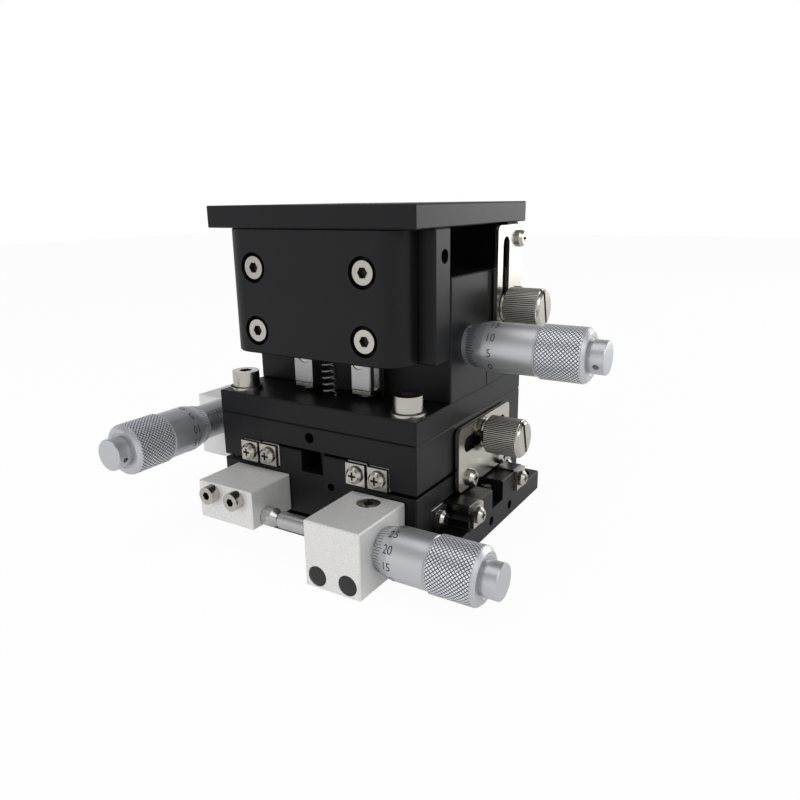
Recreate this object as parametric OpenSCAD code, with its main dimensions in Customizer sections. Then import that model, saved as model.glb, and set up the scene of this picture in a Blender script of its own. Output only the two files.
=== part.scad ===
// Three-axis linear stage: two stacked crossed-roller axes and a wedge lift,
// each driven by a micrometer head and locked by a slotted plate and thumb screw.
// Millimetres. Origin: centre of the underside of the base. +X right, +Y back, +Z up.

/* [Plates] */
// Side of every square plate
plate_w = 60; // [58:0.5:62]
// How far the carriages stand to the left of the base at rest
carriage_shift = 7; // [6.5:0.1:7.5]
// Thickness of the base flange
base_t = 5.8; // [5.6:0.1:6.4]
// Step that carries the inner rails above a plate
pad_h = 0.6; // [0.5:0.05:0.7]
// Gap between two stacked plates at their edges
layer_gap = 0.85; // [0.8:0.05:0.95]
// Material over the X rails in the cross block
cross_web = 5.2; // [5:0.1:5.6]
// Material over the Y rails in the Y carriage
y_web = 6.3; // [6:0.1:6.6]
// Thickness of the plate under the lift
lift_plate_t = 5.8; // [5.6:0.1:6.2]
// Chamfer of the plate edges
edge = 0.3; // [0.2:0.05:0.4]
// Width of the pockets that hold the return springs
pocket_w = 6.7; // [6.3:0.1:7]
// Material left under a spring pocket above the step of its plate
pocket_floor = 0.6; // [0.4:0.1:0.8]
// Distance between the corner screws
corner_pitch = 50; // [49:0.5:51]
// Height of the spare tapped holes at the base's right end, as a share of its thickness
end_hole_share = 0.59; // [0.55:0.01:0.62]
// Place of the front spare hole at that end
end_hole_a = -3.7; // [-4:0.1:-3.5]
// Place of the rear spare hole at that end
end_hole_b = 8.2; // [8:0.1:8.4]
// Spare hole in the front of the X carriage, right of its middle
cross_hole_at = 5.6; // [5.4:0.1:5.8]
// Depth of that hole under the carriage top
cross_hole_down = 1.7; // [1.6:0.05:1.8]
// Spare hole in the front of the Y carriage, left of its middle
front_hole_at = 0.5; // [0.3:0.1:0.7]
// Depth of that hole under the carriage top
front_hole_down = 2.8; // [2.6:0.1:3]

/* [Rails] */
// Width of a guide rail
rail_w = 5.7; // [5.6:0.05:5.9]
// Height of a guide rail
rail_h = 6; // [5.9:0.05:6.2]
// Gap between an inner and an outer rail
rail_gap = 0.6; // [0.55:0.05:0.7]
// Distance of the inner X and Y rails from the centre line
rail_in = 10.8; // [10.6:0.1:11]
// Distance of the inner lift rails from the centre line
lift_rail_in = 6.1; // [6:0.05:6.3]
// Depth of the V groove
groove = 1.12; // [1.1:0.01:1.15]
// Radius of a roller
roller_r = 0.95; // [0.92:0.01:0.96]
// Length of a roller
roller_l = 1.8; // [1.7:0.05:1.85]
// Distance between rollers
roller_pitch = 4; // [3.8:0.1:4.2]
// Rollers in an X or Y cage
rollers = 10; // [8:1:10]
// Rollers in a lift cage
lift_rollers = 4; // [3:1:4]
// Thickness of the cage strip
cage_t = 0.4; // [0.3:0.05:0.4]
// Height of the cage strip
cage_h = 4.4; // [4.2:0.1:4.8]
// Clearance over the rails of the other plate
rail_clear = 0.4; // [0.35:0.05:0.5]
// Bolt line of an inner rail from its grooved side
inner_hole_in = 2.3; // [2.2:0.05:2.4]
// Bolt line of an outer rail from its plain side
outer_hole_in = 2.1; // [2.05:0.05:2.2]
// End bolts of a rail from its ends
rail_bolt_in = 8; // [7.5:0.1:8.5]
// Gap over the lower rails where a side piece passes
pass_gap = 0.25; // [0.2:0.01:0.3]

/* [Rail ends] */
// Side of the square end washer
stop_w = 5.4; // [5:0.1:5.6]
// Thickness of the end washer
stop_t = 1; // [0.8:0.05:1.1]
// Radius of the pan head
pan_r = 2.1; // [2:0.05:2.3]
// Height of the pan head
pan_h = 1.3; // [1.1:0.05:1.4]
// Radius of the small screws' shanks
small_r = 1; // [0.9:0.05:1.05]
// Length of the small screws' shanks
small_l = 4.1; // [3.8:0.1:4.4]

/* [Micrometers] */
// Distance of a micrometer axis from the side of the stage
mic_out = 9.4; // [9.3:0.05:9.6]
// Height of the X micrometer axis
x_mic_z = 9.2; // [9.1:0.05:9.4]
// Height of the Y micrometer axis above the underside of its carriage
y_mic_up = 6.85; // [6.8:0.05:7]
// Radius of the spindle
spindle_r = 2.1; // [2:0.05:2.2]
// Radius of the sleeve where it carries the scale
sleeve_r = 4.75; // [4.6:0.05:4.8]
// Radius of the sleeve in its holder
shank_r = 4; // [3.9:0.05:4.05]
// Length of the sleeve outside its holder
sleeve_l = 19.5; // [19:0.1:20]
// Radius of the thimble
thimble_r = 6.1; // [6:0.05:6.2]
// Radius of the thimble at its bevelled edge
thimble_edge_r = 5.05; // [5:0.01:5.1]
// Length of the bevel with the divisions
bevel_l = 4; // [3.6:0.1:4.2]
// From the thimble edge to the knurled grip on X and Y
grip_at = 13.1; // [12.8:0.1:13.4]
// From the thimble edge to the knurled grip on the lift
lift_grip_at = 17.5; // [17:0.1:18]
// Radius of the knurled grip
grip_r = 6.5; // [6.4:0.05:6.6]
// Length of the knurled grip
grip_l = 11.6; // [11.2:0.1:12]
// Depth of the cavity in the thimble
cavity = 21; // [20.5:0.1:21.5]
// Radius of the end cap
cap_r = 4; // [3.9:0.05:4.2]
// Length of the end cap
cap_l = 3.8; // [3.5:0.1:4]
// From the thimble edge to the spindle tip on X and Y
spindle_reach = 33.2; // [33:0.1:33.4]
// Gap between thimble edge and holder on X
x_thimble_gap = 0.3; // [0.25:0.05:0.4]
// Length of sleeve in view on Y
y_thimble_gap = 9.5; // [9:0.1:9.8]
// Gap between thimble edge and column on the lift
lift_thimble_gap = 1.3; // [1.2:0.05:1.4]

/* [Holders] */
// Length of a holder along the micrometer
holder_l = 15; // [14.8:0.1:15.2]
// Depth of a holder out from the side of the stage
holder_d = 18.9; // [18.6:0.1:19.2]
// Left end of the X holder
x_holder_at = 5; // [4.8:0.1:5.2]
// Rear end of the Y holder in front of the centre
y_holder_at = 5.7; // [5.5:0.1:5.9]
// Underside of the X holder
x_holder_z = 0.6; // [0.5:0.1:0.8]
// Top of the X holder above its axis
x_holder_over = 7.4; // [7.2:0.1:7.6]
// Top of the Y holder above its axis
y_holder_over = 5; // [4.9:0.05:5.1]
// Gap between a holder and the plate that slides past it
relief = 0.4; // [0.35:0.05:0.5]
// Width of the clamp slit
slit = 1; // [0.8:0.05:1.1]
// Distance of the clamp screw from the side of the stage
clamp_out = 4.1; // [4.05:0.01:4.12]
// Distance between the two screws of a holder
holder_pitch = 8.2; // [8:0.1:8.4]
// Thickness of the plug over a holder screw
plug_t = 0.9; // [0.8:0.05:1]
// Seat of the Y clamp screw under the holder top
y_clamp_deep = 1.6; // [1.5:0.05:1.65]

/* [Anvils] */
// Length of an anvil block
anvil_l = 17.6; // [17.4:0.1:17.8]
// Depth of an anvil block out from the side of the stage
anvil_d = 14.4; // [14.2:0.1:14.6]
// Height of an anvil block
anvil_h = 9.8; // [9.6:0.05:10]
// Underside of the X anvil below its axis
x_anvil_under = 2.1; // [2:0.05:2.2]
// Underside of the Y anvil below its axis
y_anvil_under = 4.8; // [4.7:0.05:4.9]
// Distance of the anvil screws under the top
anvil_screw_down = 2.5; // [2.4:0.05:2.55]
// Distance between the anvil screws
anvil_pitch = 8; // [7.8:0.1:8.2]
// Radius of the anvil pin head
pin_head_r = 2.4; // [2.2:0.05:2.5]
// Length of the anvil pin head
pin_head_l = 1.6; // [1.5:0.05:1.7]
// Radius of the anvil pin shank
pin_r = 1.5; // [1.4:0.05:1.55]
// Length of the anvil pin shank
pin_l = 3; // [2.8:0.1:3.1]

/* [Lock plates] */
// Thickness of a lock plate
lock_t = 1; // [0.9:0.05:1.1]
// Washers between a lock plate and the stage
lock_off = 0.5; // [0.45:0.05:0.6]
// Radius of those washers
lock_washer_r = 2.4; // [2.2:0.05:2.6]
// Height of the lock plate screw heads
lock_head_h = 1.7; // [1.5:0.05:1.9]
// Corner radius of a lock plate
lock_corner = 1.6; // [1.4:0.1:1.8]
// Width of a slot
slot_w = 4.1; // [4.05:0.01:4.15]
// Radius of a lock screw shank
knob_shank_r = 1.97; // [1.95:0.01:2]
// Length of a lock screw shank in its block
knob_shank_l = 6; // [5.6:0.1:6.2]
// Radius of the collar
collar_r = 3.9; // [3.7:0.05:4]
// Length of the collar
collar_l = 2.5; // [2.4:0.05:2.6]
// Radius of the knurled head
knob_r = 5; // [4.8:0.05:5]
// Length of the knurled head
knob_l = 8.5; // [8.2:0.1:8.8]
// Width of the screwdriver slot
knob_slot = 1.2; // [1:0.05:1.3]
// Tilt of the screwdriver slot
knob_tilt = 23; // [18:1:28]
// Right end of the X lock plate, seen from behind
x_lock_from = -16.5; // [-17:0.1:-16]
// Left end of the X lock plate, seen from behind
x_lock_to = 15.5; // [15:0.1:16]
// Lower edge of the X lock plate
x_lock_low = 1; // [0.8:0.1:1.2]
// Its slot above the rail seat
x_lock_up = 1.2; // [1.1:0.1:1.3]
// Its upper edge above the slot line
x_lock_over = 4; // [3.8:0.1:4.2]
// Slot length on the long side of the X lock screw
x_slot_long = 16; // [15.8:0.1:16.4]
// Slot length on the short side of the X lock screw
x_slot_short = 3; // [2.9:0.1:3.2]
// Its fixing screws from its middle
x_lock_screw_out = 10; // [9.5:0.1:10.5]
// Front end of the Y lock plate
y_lock_from = -11.7; // [-12:0.1:-11.5]
// Rear end of the Y lock plate
y_lock_to = 19.3; // [19.1:0.1:19.6]
// Its slot above the rail seat
y_lock_up = 0.3; // [0.2:0.05:0.4]
// Its upper edge above the slot line
y_lock_over = 4.9; // [4.7:0.1:5]
// Place of the Y lock screw
y_knob_at = 3.6; // [3.5:0.1:3.8]
// Front end of the Y slot
y_slot_from = -8.8; // [-9:0.1:-8.6]
// Rear end of the Y slot
y_slot_to = 16.4; // [16.2:0.1:16.6]
// Front fixing screw of the Y lock plate
y_lock_screw_a = -5.3; // [-5.6:0.1:-5]
// Rear fixing screw of the Y lock plate
y_lock_screw_b = 13.1; // [12.8:0.1:13.4]
// Z lock screw before the rear end of its block
z_knob_in = 3.5; // [3.4:0.1:3.7]
// Z lock screw under the column top
z_knob_down = 10; // [9.6:0.1:10.4]
// Front edge of the Z lock plate before the lock screw
z_lock_front = 5.1; // [4.9:0.1:5.3]
// Rear edge of the Z lock plate before the bracket's end
z_lock_back_in = 0.9; // [0.7:0.1:1]
// Upper edge of the Z lock plate under the table
z_lock_top_in = 0.5; // [0.4:0.05:0.7]
// Lower end of the Z slot under the lock screw
z_slot_below = 4.8; // [4.6:0.1:5]
// Upper end of the Z slot under the table
z_slot_top_in = 3.3; // [3.2:0.1:3.6]
// Z lock plate below its slot
z_lock_under = 3; // [2.8:0.1:3.2]
// Its fixing screws before the bracket's end
z_lock_screw_in = 3.1; // [3:0.05:3.2]
// Its lower fixing screw under the table
z_lock_screw_low = 19; // [18.7:0.1:19.3]
// Its upper fixing screw under the table
z_lock_screw_high = 4.2; // [4.1:0.1:4.5]

/* [Lift] */
// Space between the plate under the lift and the sliding front
slide_gap = 11; // [10.9:0.1:11.4]
// Height of the sliding front
slide_h = 30.5; // [30:0.1:31]
// Height of the fixed column
column_h = 30.3; // [30:0.1:30.6]
// Front of the sliding front block behind the plate edge
front_in = 0.8; // [0.7:0.05:0.9]
// Seat of the lift rails behind the plate edge
seat_in = 15.1; // [14.9:0.05:15.3]
// Half of the front block's width
front_half = 25.5; // [25:0.1:26]
// Radius of the front block's corners
front_corner = 6; // [5:0.5:6.5]
// Gap between the sliding wings and the column
wing_gap = 0.5; // [0.45:0.05:0.6]
// Height of the pad that carries the lift rails
column_pad = 1.5; // [1.4:0.05:1.6]
// Depth of the column
column_d = 20.3; // [20.1:0.1:20.5]
// Depth of the rear block
rear_d = 10.9; // [10.7:0.1:11.1]
// Depth of the rear bracket
bracket_d = 7.2; // [7:0.1:7.4]
// Height of the rear bracket
bracket_h = 22.8; // [22.4:0.1:23]
// Height of the lift micrometer above its plate
lift_mic_up = 13.1; // [12.9:0.1:13.3]
// Distance of the lift micrometer behind the column front
lift_mic_in = 10; // [9.9:0.05:10.1]
// Width of the wedge
wedge_w = 10.8; // [10.6:0.1:11]
// Height of the wedge
wedge_h = 18; // [17.8:0.1:18.2]
// Thickness of the wedge at its top
wedge_top = 4; // [3.8:0.1:4.2]
// Floor of the wedge pocket above the plate
pocket_up = 6.5; // [6.3:0.1:6.7]
// Gap around the wedge
wedge_gap = 0.2; // [0.15:0.01:0.25]
// Back of the wedge left of the carriage edge
wedge_at = 27; // [26.9:0.05:27.2]
// Radius of the lift roller
lift_roller_r = 3; // [2.9:0.05:3]
// Length of the lift roller
lift_roller_l = 6; // [5.8:0.1:6.2]
// Radius of the lift roller pin
lift_pin_r = 1.2; // [1.1:0.05:1.25]
// Thickness of a fork cheek
cheek_t = 2; // [1.8:0.05:2]
// Radius of a fork cheek
cheek_r = 2.6; // [2.4:0.05:2.6]
// Lower end of the inner lift rails above the plate
lift_rail_up = 2.5; // [2.3:0.1:2.7]
// Bolts of the inner lift rails from their ends
lift_bolt_in = 7.2; // [7:0.1:7.4]
// Upper bolts of the lift front under the table
front_bolt_down = 9.3; // [9.1:0.1:9.5]
// Column screws from its middle line
column_screw_x = 22; // [21.5:0.1:22.3]
// Front column screws behind its face
column_screw_in = 5.4; // [5.2:0.1:5.6]
// Spare hole of the side wing before its back
wing_hole_in = 2.8; // [2.6:0.1:2.9]
// Depth of that hole under the table
wing_hole_down = 6.2; // [6:0.1:6.4]
// Room left of the wedge in its pocket
wedge_room = 2; // [1.9:0.1:2.2]
// Room right of the wedge in its pocket
wedge_run = 12; // [11.8:0.1:12.2]
// Roller axis from the low end of the wedge
roller_in = 12.88; // [12.8:0.01:12.96]
// Bridge of the fork above its roller
bridge_gap = 1.4; // [1.3:0.05:1.5]

/* [Table] */
// Thickness of the table
table_t = 5.3; // [5.2:0.1:5.6]
// How far the table stands behind the carriage
table_back = 0.6; // [0.5:0.1:0.7]
// Distance between the outer tapped holes
tap_pitch = 50; // [49:0.5:51]
// Radius of the outer tapped holes
tap_r = 2; // [1.9:0.05:2.1]
// Distance between the inner tapped holes
tap_in_pitch = 32; // [31:0.5:33]
// Radius of the inner tapped holes
tap_in_r = 1.5; // [1.4:0.05:1.6]
// Front table screws from the middle line
front_screw_x = 10; // [9.8:0.1:10.2]
// Front table screws behind the front face
front_screw_in = 4.2; // [4.1:0.05:4.3]
// Table screws of the side wings from the middle line
wing_screw_x = 24; // [23.8:0.1:24.2]
// Table screws of the rear bracket from the middle line
rear_screw_x = 20; // [19.5:0.1:20.5]

/* [Screws] */
// Radius of the corner screws' shanks
m4_r = 2; // [1.9:0.05:2.05]
// Radius of the corner screws' heads
m4_head_r = 3.5; // [3.4:0.05:3.5]
// Height of the corner screws' heads
m4_head_h = 4; // [3.8:0.05:4]
// Washer radius under the corner screws
m4_washer_r = 4.2; // [4:0.05:4.3]
// Washer thickness under the corner screws
m4_washer_t = 0.8; // [0.7:0.05:0.8]
// Radius of the medium screws' shanks
m3_r = 1.5; // [1.4:0.05:1.55]
// Radius of the medium screws' heads
m3_head_r = 2.75; // [2.6:0.05:2.8]
// Height of the medium screws' heads
m3_head_h = 2.6; // [2.4:0.05:2.7]
// Radius of the light screws' shanks
m25_r = 1.25; // [1.2:0.01:1.26]
// Radius of the light screws' heads
m25_head_r = 2.25; // [2.1:0.05:2.3]
// Height of the light screws' heads
m25_head_h = 2.5; // [2.3:0.05:2.5]
// Radius of the rail screws' heads
m2_head_r = 1.8; // [1.7:0.05:1.85]
// Height of the rail screws' heads
m2_head_h = 1.9; // [1.8:0.05:2]
// Radial gap around screws and sleeves
fit = 0.03; // [0.02:0.01:0.04]

/* [Springs] */
// Outer radius of the springs
spring_r = 1.9; // [1.8:0.05:1.95]
// Radius of the spring wire
wire_r = 0.3; // [0.25:0.01:0.32]
// Curls of the lift spring
curls = 16; // [14:1:17]
// Distance of the lift spring in front of the rails
spring_fore = 0.5; // [0.4:0.05:0.6]
// Depth of the lift spring in the sliding front
spring_bore_l = 18.7; // [18.5:0.1:19]
// Left end of the X spring
x_spring_from = -20; // [-20.5:0.1:-19.5]
// Right end of the X spring
x_spring_to = 26; // [25.7:0.1:26.3]
// Front end of the Y spring
y_spring_from = -24; // [-24.3:0.1:-23.7]
// Rear end of the Y spring
y_spring_to = 20; // [19.7:0.1:20.3]

/* [Hidden] */
$fn = 48;
cut = 1;                               // how far a cutter runs past a face
half = plate_w / 2;
cx = -carriage_shift;                  // centre line of the carriages
left = cx - half;
right = cx + half;
corner = corner_pitch / 2;

out_right = [0, 90, 0];
out_left = [0, -90, 0];
out_front = [90, 0, 0];
out_back = [-90, 0, 0];
out_top = [0, 0, 0];
out_bottom = [180, 0, 0];

// levels
x_rail_z = base_t + pad_h;
x_seat_z = x_rail_z + rail_h;
cross_z = base_t + layer_gap;
cross_top = x_seat_z + cross_web;
y_rail_z = cross_top + pad_h;
y_seat_z = y_rail_z + rail_h;
y_z = cross_top + layer_gap;
y_top = y_seat_z + y_web;
lift_z = y_top + lift_plate_t;
column_top = lift_z + column_h;
slide_z = lift_z + slide_gap;
table_z = slide_z + slide_h;
table_top = table_z + table_t;

// depths of the lift
seat_y = seat_in - half;
rail_front_y = seat_y - rail_h;
front_y = front_in - half;
column_y = seat_y + column_pad;
wing_back_y = column_y - wing_gap;
rear_y = column_y + column_d;
rear_end_y = rear_y + rear_d;
bracket_y = rear_end_y + wing_gap;
bracket_end_y = bracket_y + bracket_d;
table_y = table_back - half;
table_end_y = table_back + half;
lift_mic_y = column_y + lift_mic_in;
lift_mic_z = lift_z + lift_mic_up;

bore_gap = 0.2;                        // around a head in its counterbore

// rails
rail_out = rail_in + rail_w + rail_gap;
rail_end = rail_out + rail_w;
lift_rail_out = lift_rail_in + rail_w + rail_gap;
lift_rail_end = lift_rail_out + rail_w;
rail_bolts = [rail_bolt_in - half, 0, half - rail_bolt_in];
outer_bolts = [rail_bolt_in - half, half - rail_bolt_in];
lift_in_u = [lift_z + lift_rail_up, column_top];
lift_out_u = [slide_z, table_z - wing_gap];
lift_in_bolts = [lift_in_u[0] + lift_bolt_in, lift_in_u[1] - lift_bolt_in];
front_bolt_x = lift_rail_end - outer_hole_in;
front_bolt_z = [slide_z + small_l + m3_r + bore_gap, table_z - front_bolt_down];
cage_l = rollers * roller_pitch + roller_pitch / 2;
lift_cage_l = lift_rollers * roller_pitch;
x_cage_mid = cx / 2;
lift_cage_mid = (lift_out_u[0] + lift_in_u[1]) / 2;

// screw sizes: head radius, head height, shank radius
m4 = [m4_head_r, m4_head_h, m4_r];
m3 = [m3_head_r, m3_head_h, m3_r];
m25 = [m25_head_r, m25_head_h, m25_r];
m2 = [m2_head_r, m2_head_h, small_r];
socket_share = 0.5;
socket_deep_share = 0.55;
m3_bore = 0.95;                        // wide counterbore seen on the lift front
deep = m3_head_h + bore_gap;

// micrometers, in the frame of their holder
x_mic = [0, -mic_out, x_mic_z];
y_mic_z = y_z + y_mic_up;
y_mic = [0, -mic_out, y_mic_z];
x_edge = holder_l + x_thimble_gap;
y_edge = holder_l + y_thimble_gap;
x_anvil_x = x_edge - spindle_reach - pin_head_l;
y_anvil_x = y_edge - spindle_reach - pin_head_l;
x_anvil_z = x_mic_z - x_anvil_under;
y_anvil_z = y_mic_z - y_anvil_under;
y_holder_z = [x_seat_z + pass_gap, y_mic_z + y_holder_over];
holder_mid = holder_l / 2;
x_holder_screw_z = base_t * 0.63;
y_holder_screw_z = (x_seat_z + cross_top) / 2;
x_anvil_screw_z = x_anvil_z + anvil_h - anvil_screw_down;
y_anvil_screw_z = y_anvil_z + anvil_h - anvil_screw_down;
anvil_mid_share = 0.49;
tap_l = 6;                             // thread engaged by a side screw
y_anvil_tap_l = half - corner - m4_r - 2 * bore_gap;  // stops before the corner screws
plug_r = m25_head_r + bore_gap;

// lock plates: [u0, u1, v0, v1], slot [u0, u1, v], screws [[u, v], ...], knob [u, v]
knob_hole_l = knob_shank_l + 4 * bore_gap;
collar_gap = 0.1;
x_lock_v = x_seat_z + x_lock_up;
x_lock_knob = [-cx, x_lock_v];
x_lock_box = [x_lock_from, x_lock_to, x_lock_low, x_lock_v + x_lock_over];
x_lock_slot = [-cx - x_slot_long, -cx + x_slot_short, x_lock_v];
x_lock_holes = [[-x_lock_screw_out, base_t / 2], [x_lock_screw_out, base_t / 2]];
y_lock_v = y_seat_z + y_lock_up;
y_lock_knob = [y_knob_at, y_lock_v];
y_lock_box = [y_lock_from, y_lock_to, x_seat_z + pass_gap, y_lock_v + y_lock_over];
y_lock_slot = [y_slot_from, y_slot_to, y_lock_v];
y_lock_screw_v = x_seat_z + pass_gap + lock_washer_r;
y_lock_holes = [[y_lock_screw_a, y_lock_screw_v], [y_lock_screw_b, y_lock_screw_v]];
z_lock_u = rear_end_y - z_knob_in;
z_lock_knob = [z_lock_u, column_top - z_knob_down];
z_lock_slot = [z_lock_knob[1] - z_slot_below, table_z - z_slot_top_in, z_lock_u];
z_lock_box = [z_lock_u - z_lock_front, bracket_end_y - z_lock_back_in,
    z_lock_slot[0] - z_lock_under, table_z - z_lock_top_in];
z_lock_screw_u = bracket_end_y - z_lock_screw_in;
z_lock_holes = [[z_lock_screw_u, table_z - z_lock_screw_low],
    [z_lock_screw_u, table_z - z_lock_screw_high]];

// wedge and lift roller
wedge_z = lift_z + pocket_up + wedge_gap;
wedge_right = right - wedge_at;
wedge_left = wedge_right - wedge_top - wedge_h;
wedge_y = lift_mic_y - wedge_w / 2;
wedge_pocket_x = [wedge_left - wedge_room, wedge_right + wedge_run];
wedge_pocket_y = [wedge_y - wedge_gap, wedge_y + wedge_w + wedge_gap];
lift_roller_x = wedge_left + roller_in;
roller_gap = 0.02;
lift_roller_z = wedge_z + lift_roller_x - wedge_left + (lift_roller_r + roller_gap) * sqrt(2);
fork_x = [lift_roller_x - cheek_r, lift_roller_x + cheek_r];
fork_bridge_z = lift_roller_z + lift_roller_r + bridge_gap;
cheek_gap = 0.1;
cheek_in = lift_roller_l / 2 + cheek_gap;
lift_edge = right + lift_thimble_gap;

// table screws: front block, wings, rear bracket, fork
table_screws_at = [
    [cx - front_screw_x, front_y + front_screw_in],
    [cx + front_screw_x, front_y + front_screw_in],
    [cx - wing_screw_x, (rail_front_y + wing_back_y) / 2],
    [cx + wing_screw_x, (rail_front_y + wing_back_y) / 2],
    [cx - rear_screw_x, (bracket_y + bracket_end_y) / 2],
    [cx + rear_screw_x, (bracket_y + bracket_end_y) / 2],
    [lift_roller_x, lift_mic_y]
];
column_screws_at = [
    [cx - column_screw_x, column_y + column_screw_in],
    [cx + column_screw_x, column_y + column_screw_in],
    [cx - column_screw_x, (rear_y + rear_end_y) / 2],
    [cx + column_screw_x, (rear_y + rear_end_y) / 2]
];

// springs
coil_r = spring_r - wire_r;
lift_spring_y = rail_front_y - spring_fore;
lift_spring_z = [lift_z, slide_z + spring_bore_l];
side_spring_x = [x_spring_from, x_spring_to];
side_spring_z = x_rail_z + rail_h / 2;
y_spring_z = y_rail_z + rail_h / 2;
y_spring_y = [y_spring_from, y_spring_to];
post_r = 1;

steel = [0.72, 0.72, 0.71];
nickel = [0.8, 0.78, 0.73];
silver = [0.75, 0.75, 0.74];
black = [0.13, 0.13, 0.14];
plastic = [0.06, 0.06, 0.06];

function mid(a) = (a[0] + a[1]) / 2;
function octagon(a, b, c) = [
    [a[0] + c, b[0]], [a[1] - c, b[0]], [a[1], b[0] + c], [a[1], b[1] - c],
    [a[1] - c, b[1]], [a[0] + c, b[1]], [a[0], b[1] - c], [a[0], b[0] + c]
];

// plain box between two corners
module box(x, y, z) {
    translate([x[0], y[0], z[0]])
        cube([x[1] - x[0], y[1] - y[0], z[1] - z[0]]);
}

// box with every edge chamfered
module block(x, y, z) {
    intersection() {
        translate([0, 0, z[0]])
            linear_extrude(z[1] - z[0]) polygon(octagon(x, y, edge));
        translate([x[0], 0, 0]) rotate([90, 0, 90])
            linear_extrude(x[1] - x[0]) polygon(octagon(y, z, edge));
        translate([0, y[1], 0]) rotate([90, 0, 0])
            linear_extrude(y[1] - y[0]) polygon(octagon(x, z, edge));
    }
}

// round bar along the way that a rotation turns +Z to, from h[0] to h[1]
module rod(at, way, h, r) {
    translate(at) rotate(way) translate([0, 0, h[0]])
        cylinder(h = h[1] - h[0], r = r);
}

// socket head screw: its head sits on the face at this point
module socket_screw(at, way, size, l) {
    translate(at) rotate(way) {
        difference() {
            cylinder(h = size[1], r = size[0]);
            translate([0, 0, size[1] * (1 - socket_deep_share)])
                cylinder(h = size[1], r = size[0] * socket_share, $fn = 6);
        }
        translate([0, 0, -l]) cylinder(h = l, r = size[2]);
    }
}

// pan head with a cross recess, standing on the local XY plane
module pan_head(r, h) {
    difference() {
        union() {
            cylinder(h = h / 2, r = r);
            translate([0, 0, h / 2])
                cylinder(h = h / 2, r1 = r, r2 = r * 0.7);
        }
        for (a = [0, 90])
            rotate(a) translate([-r * 0.5, -r * 0.13, h * 0.5])
                cube([r, r * 0.26, h]);
    }
}

// hole for a socket screw, with room above the seat for its head
module screw_hole(at, way, size, l, head_room, wide = bore_gap) {
    rod(at, way, [-l, head_room], size[2] + fit);
    if (head_room > 0)
        rod(at, way, [0, head_room], size[0] + wide);
}

module each_side() {
    children();
    mirror([0, 1, 0]) children();
}

// frames of the three guides: rails run along local X and stand up along local Z
module x_guide() {
    translate([0, 0, x_rail_z]) children();
}
module y_guide() {
    translate([cx, 0, y_rail_z]) rotate([0, 0, 90]) children();
}
module z_guide() {
    translate([cx, seat_y, 0]) rotate([0, -90, 90]) children();
}

// one rail with its groove towards its partner
module rail(u, v, outward) {
    face = outward ? v + rail_w : v;
    difference() {
        block(u, [v, v + rail_w], [0, rail_h]);
        translate([u[0] - cut, face, rail_h / 2]) rotate([45, 0, 0])
            translate([0, -groove / sqrt(2), -groove / sqrt(2)])
                cube([u[1] - u[0] + 2 * cut, groove * sqrt(2), groove * sqrt(2)]);
        for (end = u)
            rod([end, v + rail_w / 2, rail_h / 2], out_right, [-small_l - cut, small_l + cut],
                small_r + fit);
    }
}
module inner_rails(u, v, bolts) {
    each_side() difference() {
        rail(u, v, true);
        for (b = bolts)
            screw_hole([b, v + inner_hole_in, rail_h - m2_head_h - bore_gap], out_top, m2,
                rail_h, m2_head_h + cut, bore_gap / 2);
    }
}
module outer_rails(u, v, bolts, r) {
    each_side() difference() {
        rail(u, v, false);
        for (b = bolts)
            rod([b, v + rail_w - outer_hole_in, 0], out_top, [-cut, rail_h + cut], r + fit);
    }
}

// square washer and cross-head screw on one rail end
module end_stop(at, way) {
    translate(at) rotate(way) {
        difference() {
            translate([-stop_w / 2, -stop_w / 2, 0]) cube([stop_w, stop_w, stop_t]);
            translate([0, 0, -cut]) cylinder(h = stop_t + 2 * cut, r = small_r + fit);
        }
        translate([0, 0, -small_l]) cylinder(h = small_l + stop_t, r = small_r);
        translate([0, 0, stop_t]) pan_head(pan_r, pan_h);
    }
}
module end_stops(u, v) {
    each_side() {
        end_stop([u[0], v + rail_w / 2, rail_h / 2], out_left);
        end_stop([u[1], v + rail_w / 2, rail_h / 2], out_right);
    }
}
module inner_rail_screws(u, v, bolts) {
    end_stops(u, v);
    each_side() for (b = bolts)
        socket_screw([b, v + inner_hole_in, rail_h - m2_head_h - bore_gap], out_top, m2,
            rail_h);
}

// pair of roller cages; every other roller leans the other way
module cages(centre, l, count, v) {
    v_mid = v + rail_w + rail_gap / 2;
    first = centre - (count - 1) * roller_pitch / 2;
    each_side() {
        difference() {
            box([centre - l / 2, centre + l / 2], [v_mid - cage_t / 2, v_mid + cage_t / 2],
                [rail_h / 2 - cage_h / 2, rail_h / 2 + cage_h / 2]);
            for (i = [0 : count - 1])
                box([first + i * roller_pitch - roller_r * 1.1,
                    first + i * roller_pitch + roller_r * 1.1],
                    [v_mid - cut, v_mid + cut],
                    [rail_h / 2 - roller_r * 1.5, rail_h / 2 + roller_r * 1.5]);
        }
        for (i = [0 : count - 1])
            translate([first + i * roller_pitch, v_mid, rail_h / 2])
                rotate([i % 2 == 0 ? 45 : -45, 0, 0])
                    cylinder(h = roller_l, r = roller_r, center = true);
    }
}

// frames of the X and Y micrometers: the stage side is at local y = 0 and
// the thimble points along local +X
module x_side() {
    translate([x_holder_at, -half, 0]) children();
}
module y_side() {
    translate([left, -y_holder_at, 0]) rotate([0, 0, -90]) children();
}

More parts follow.
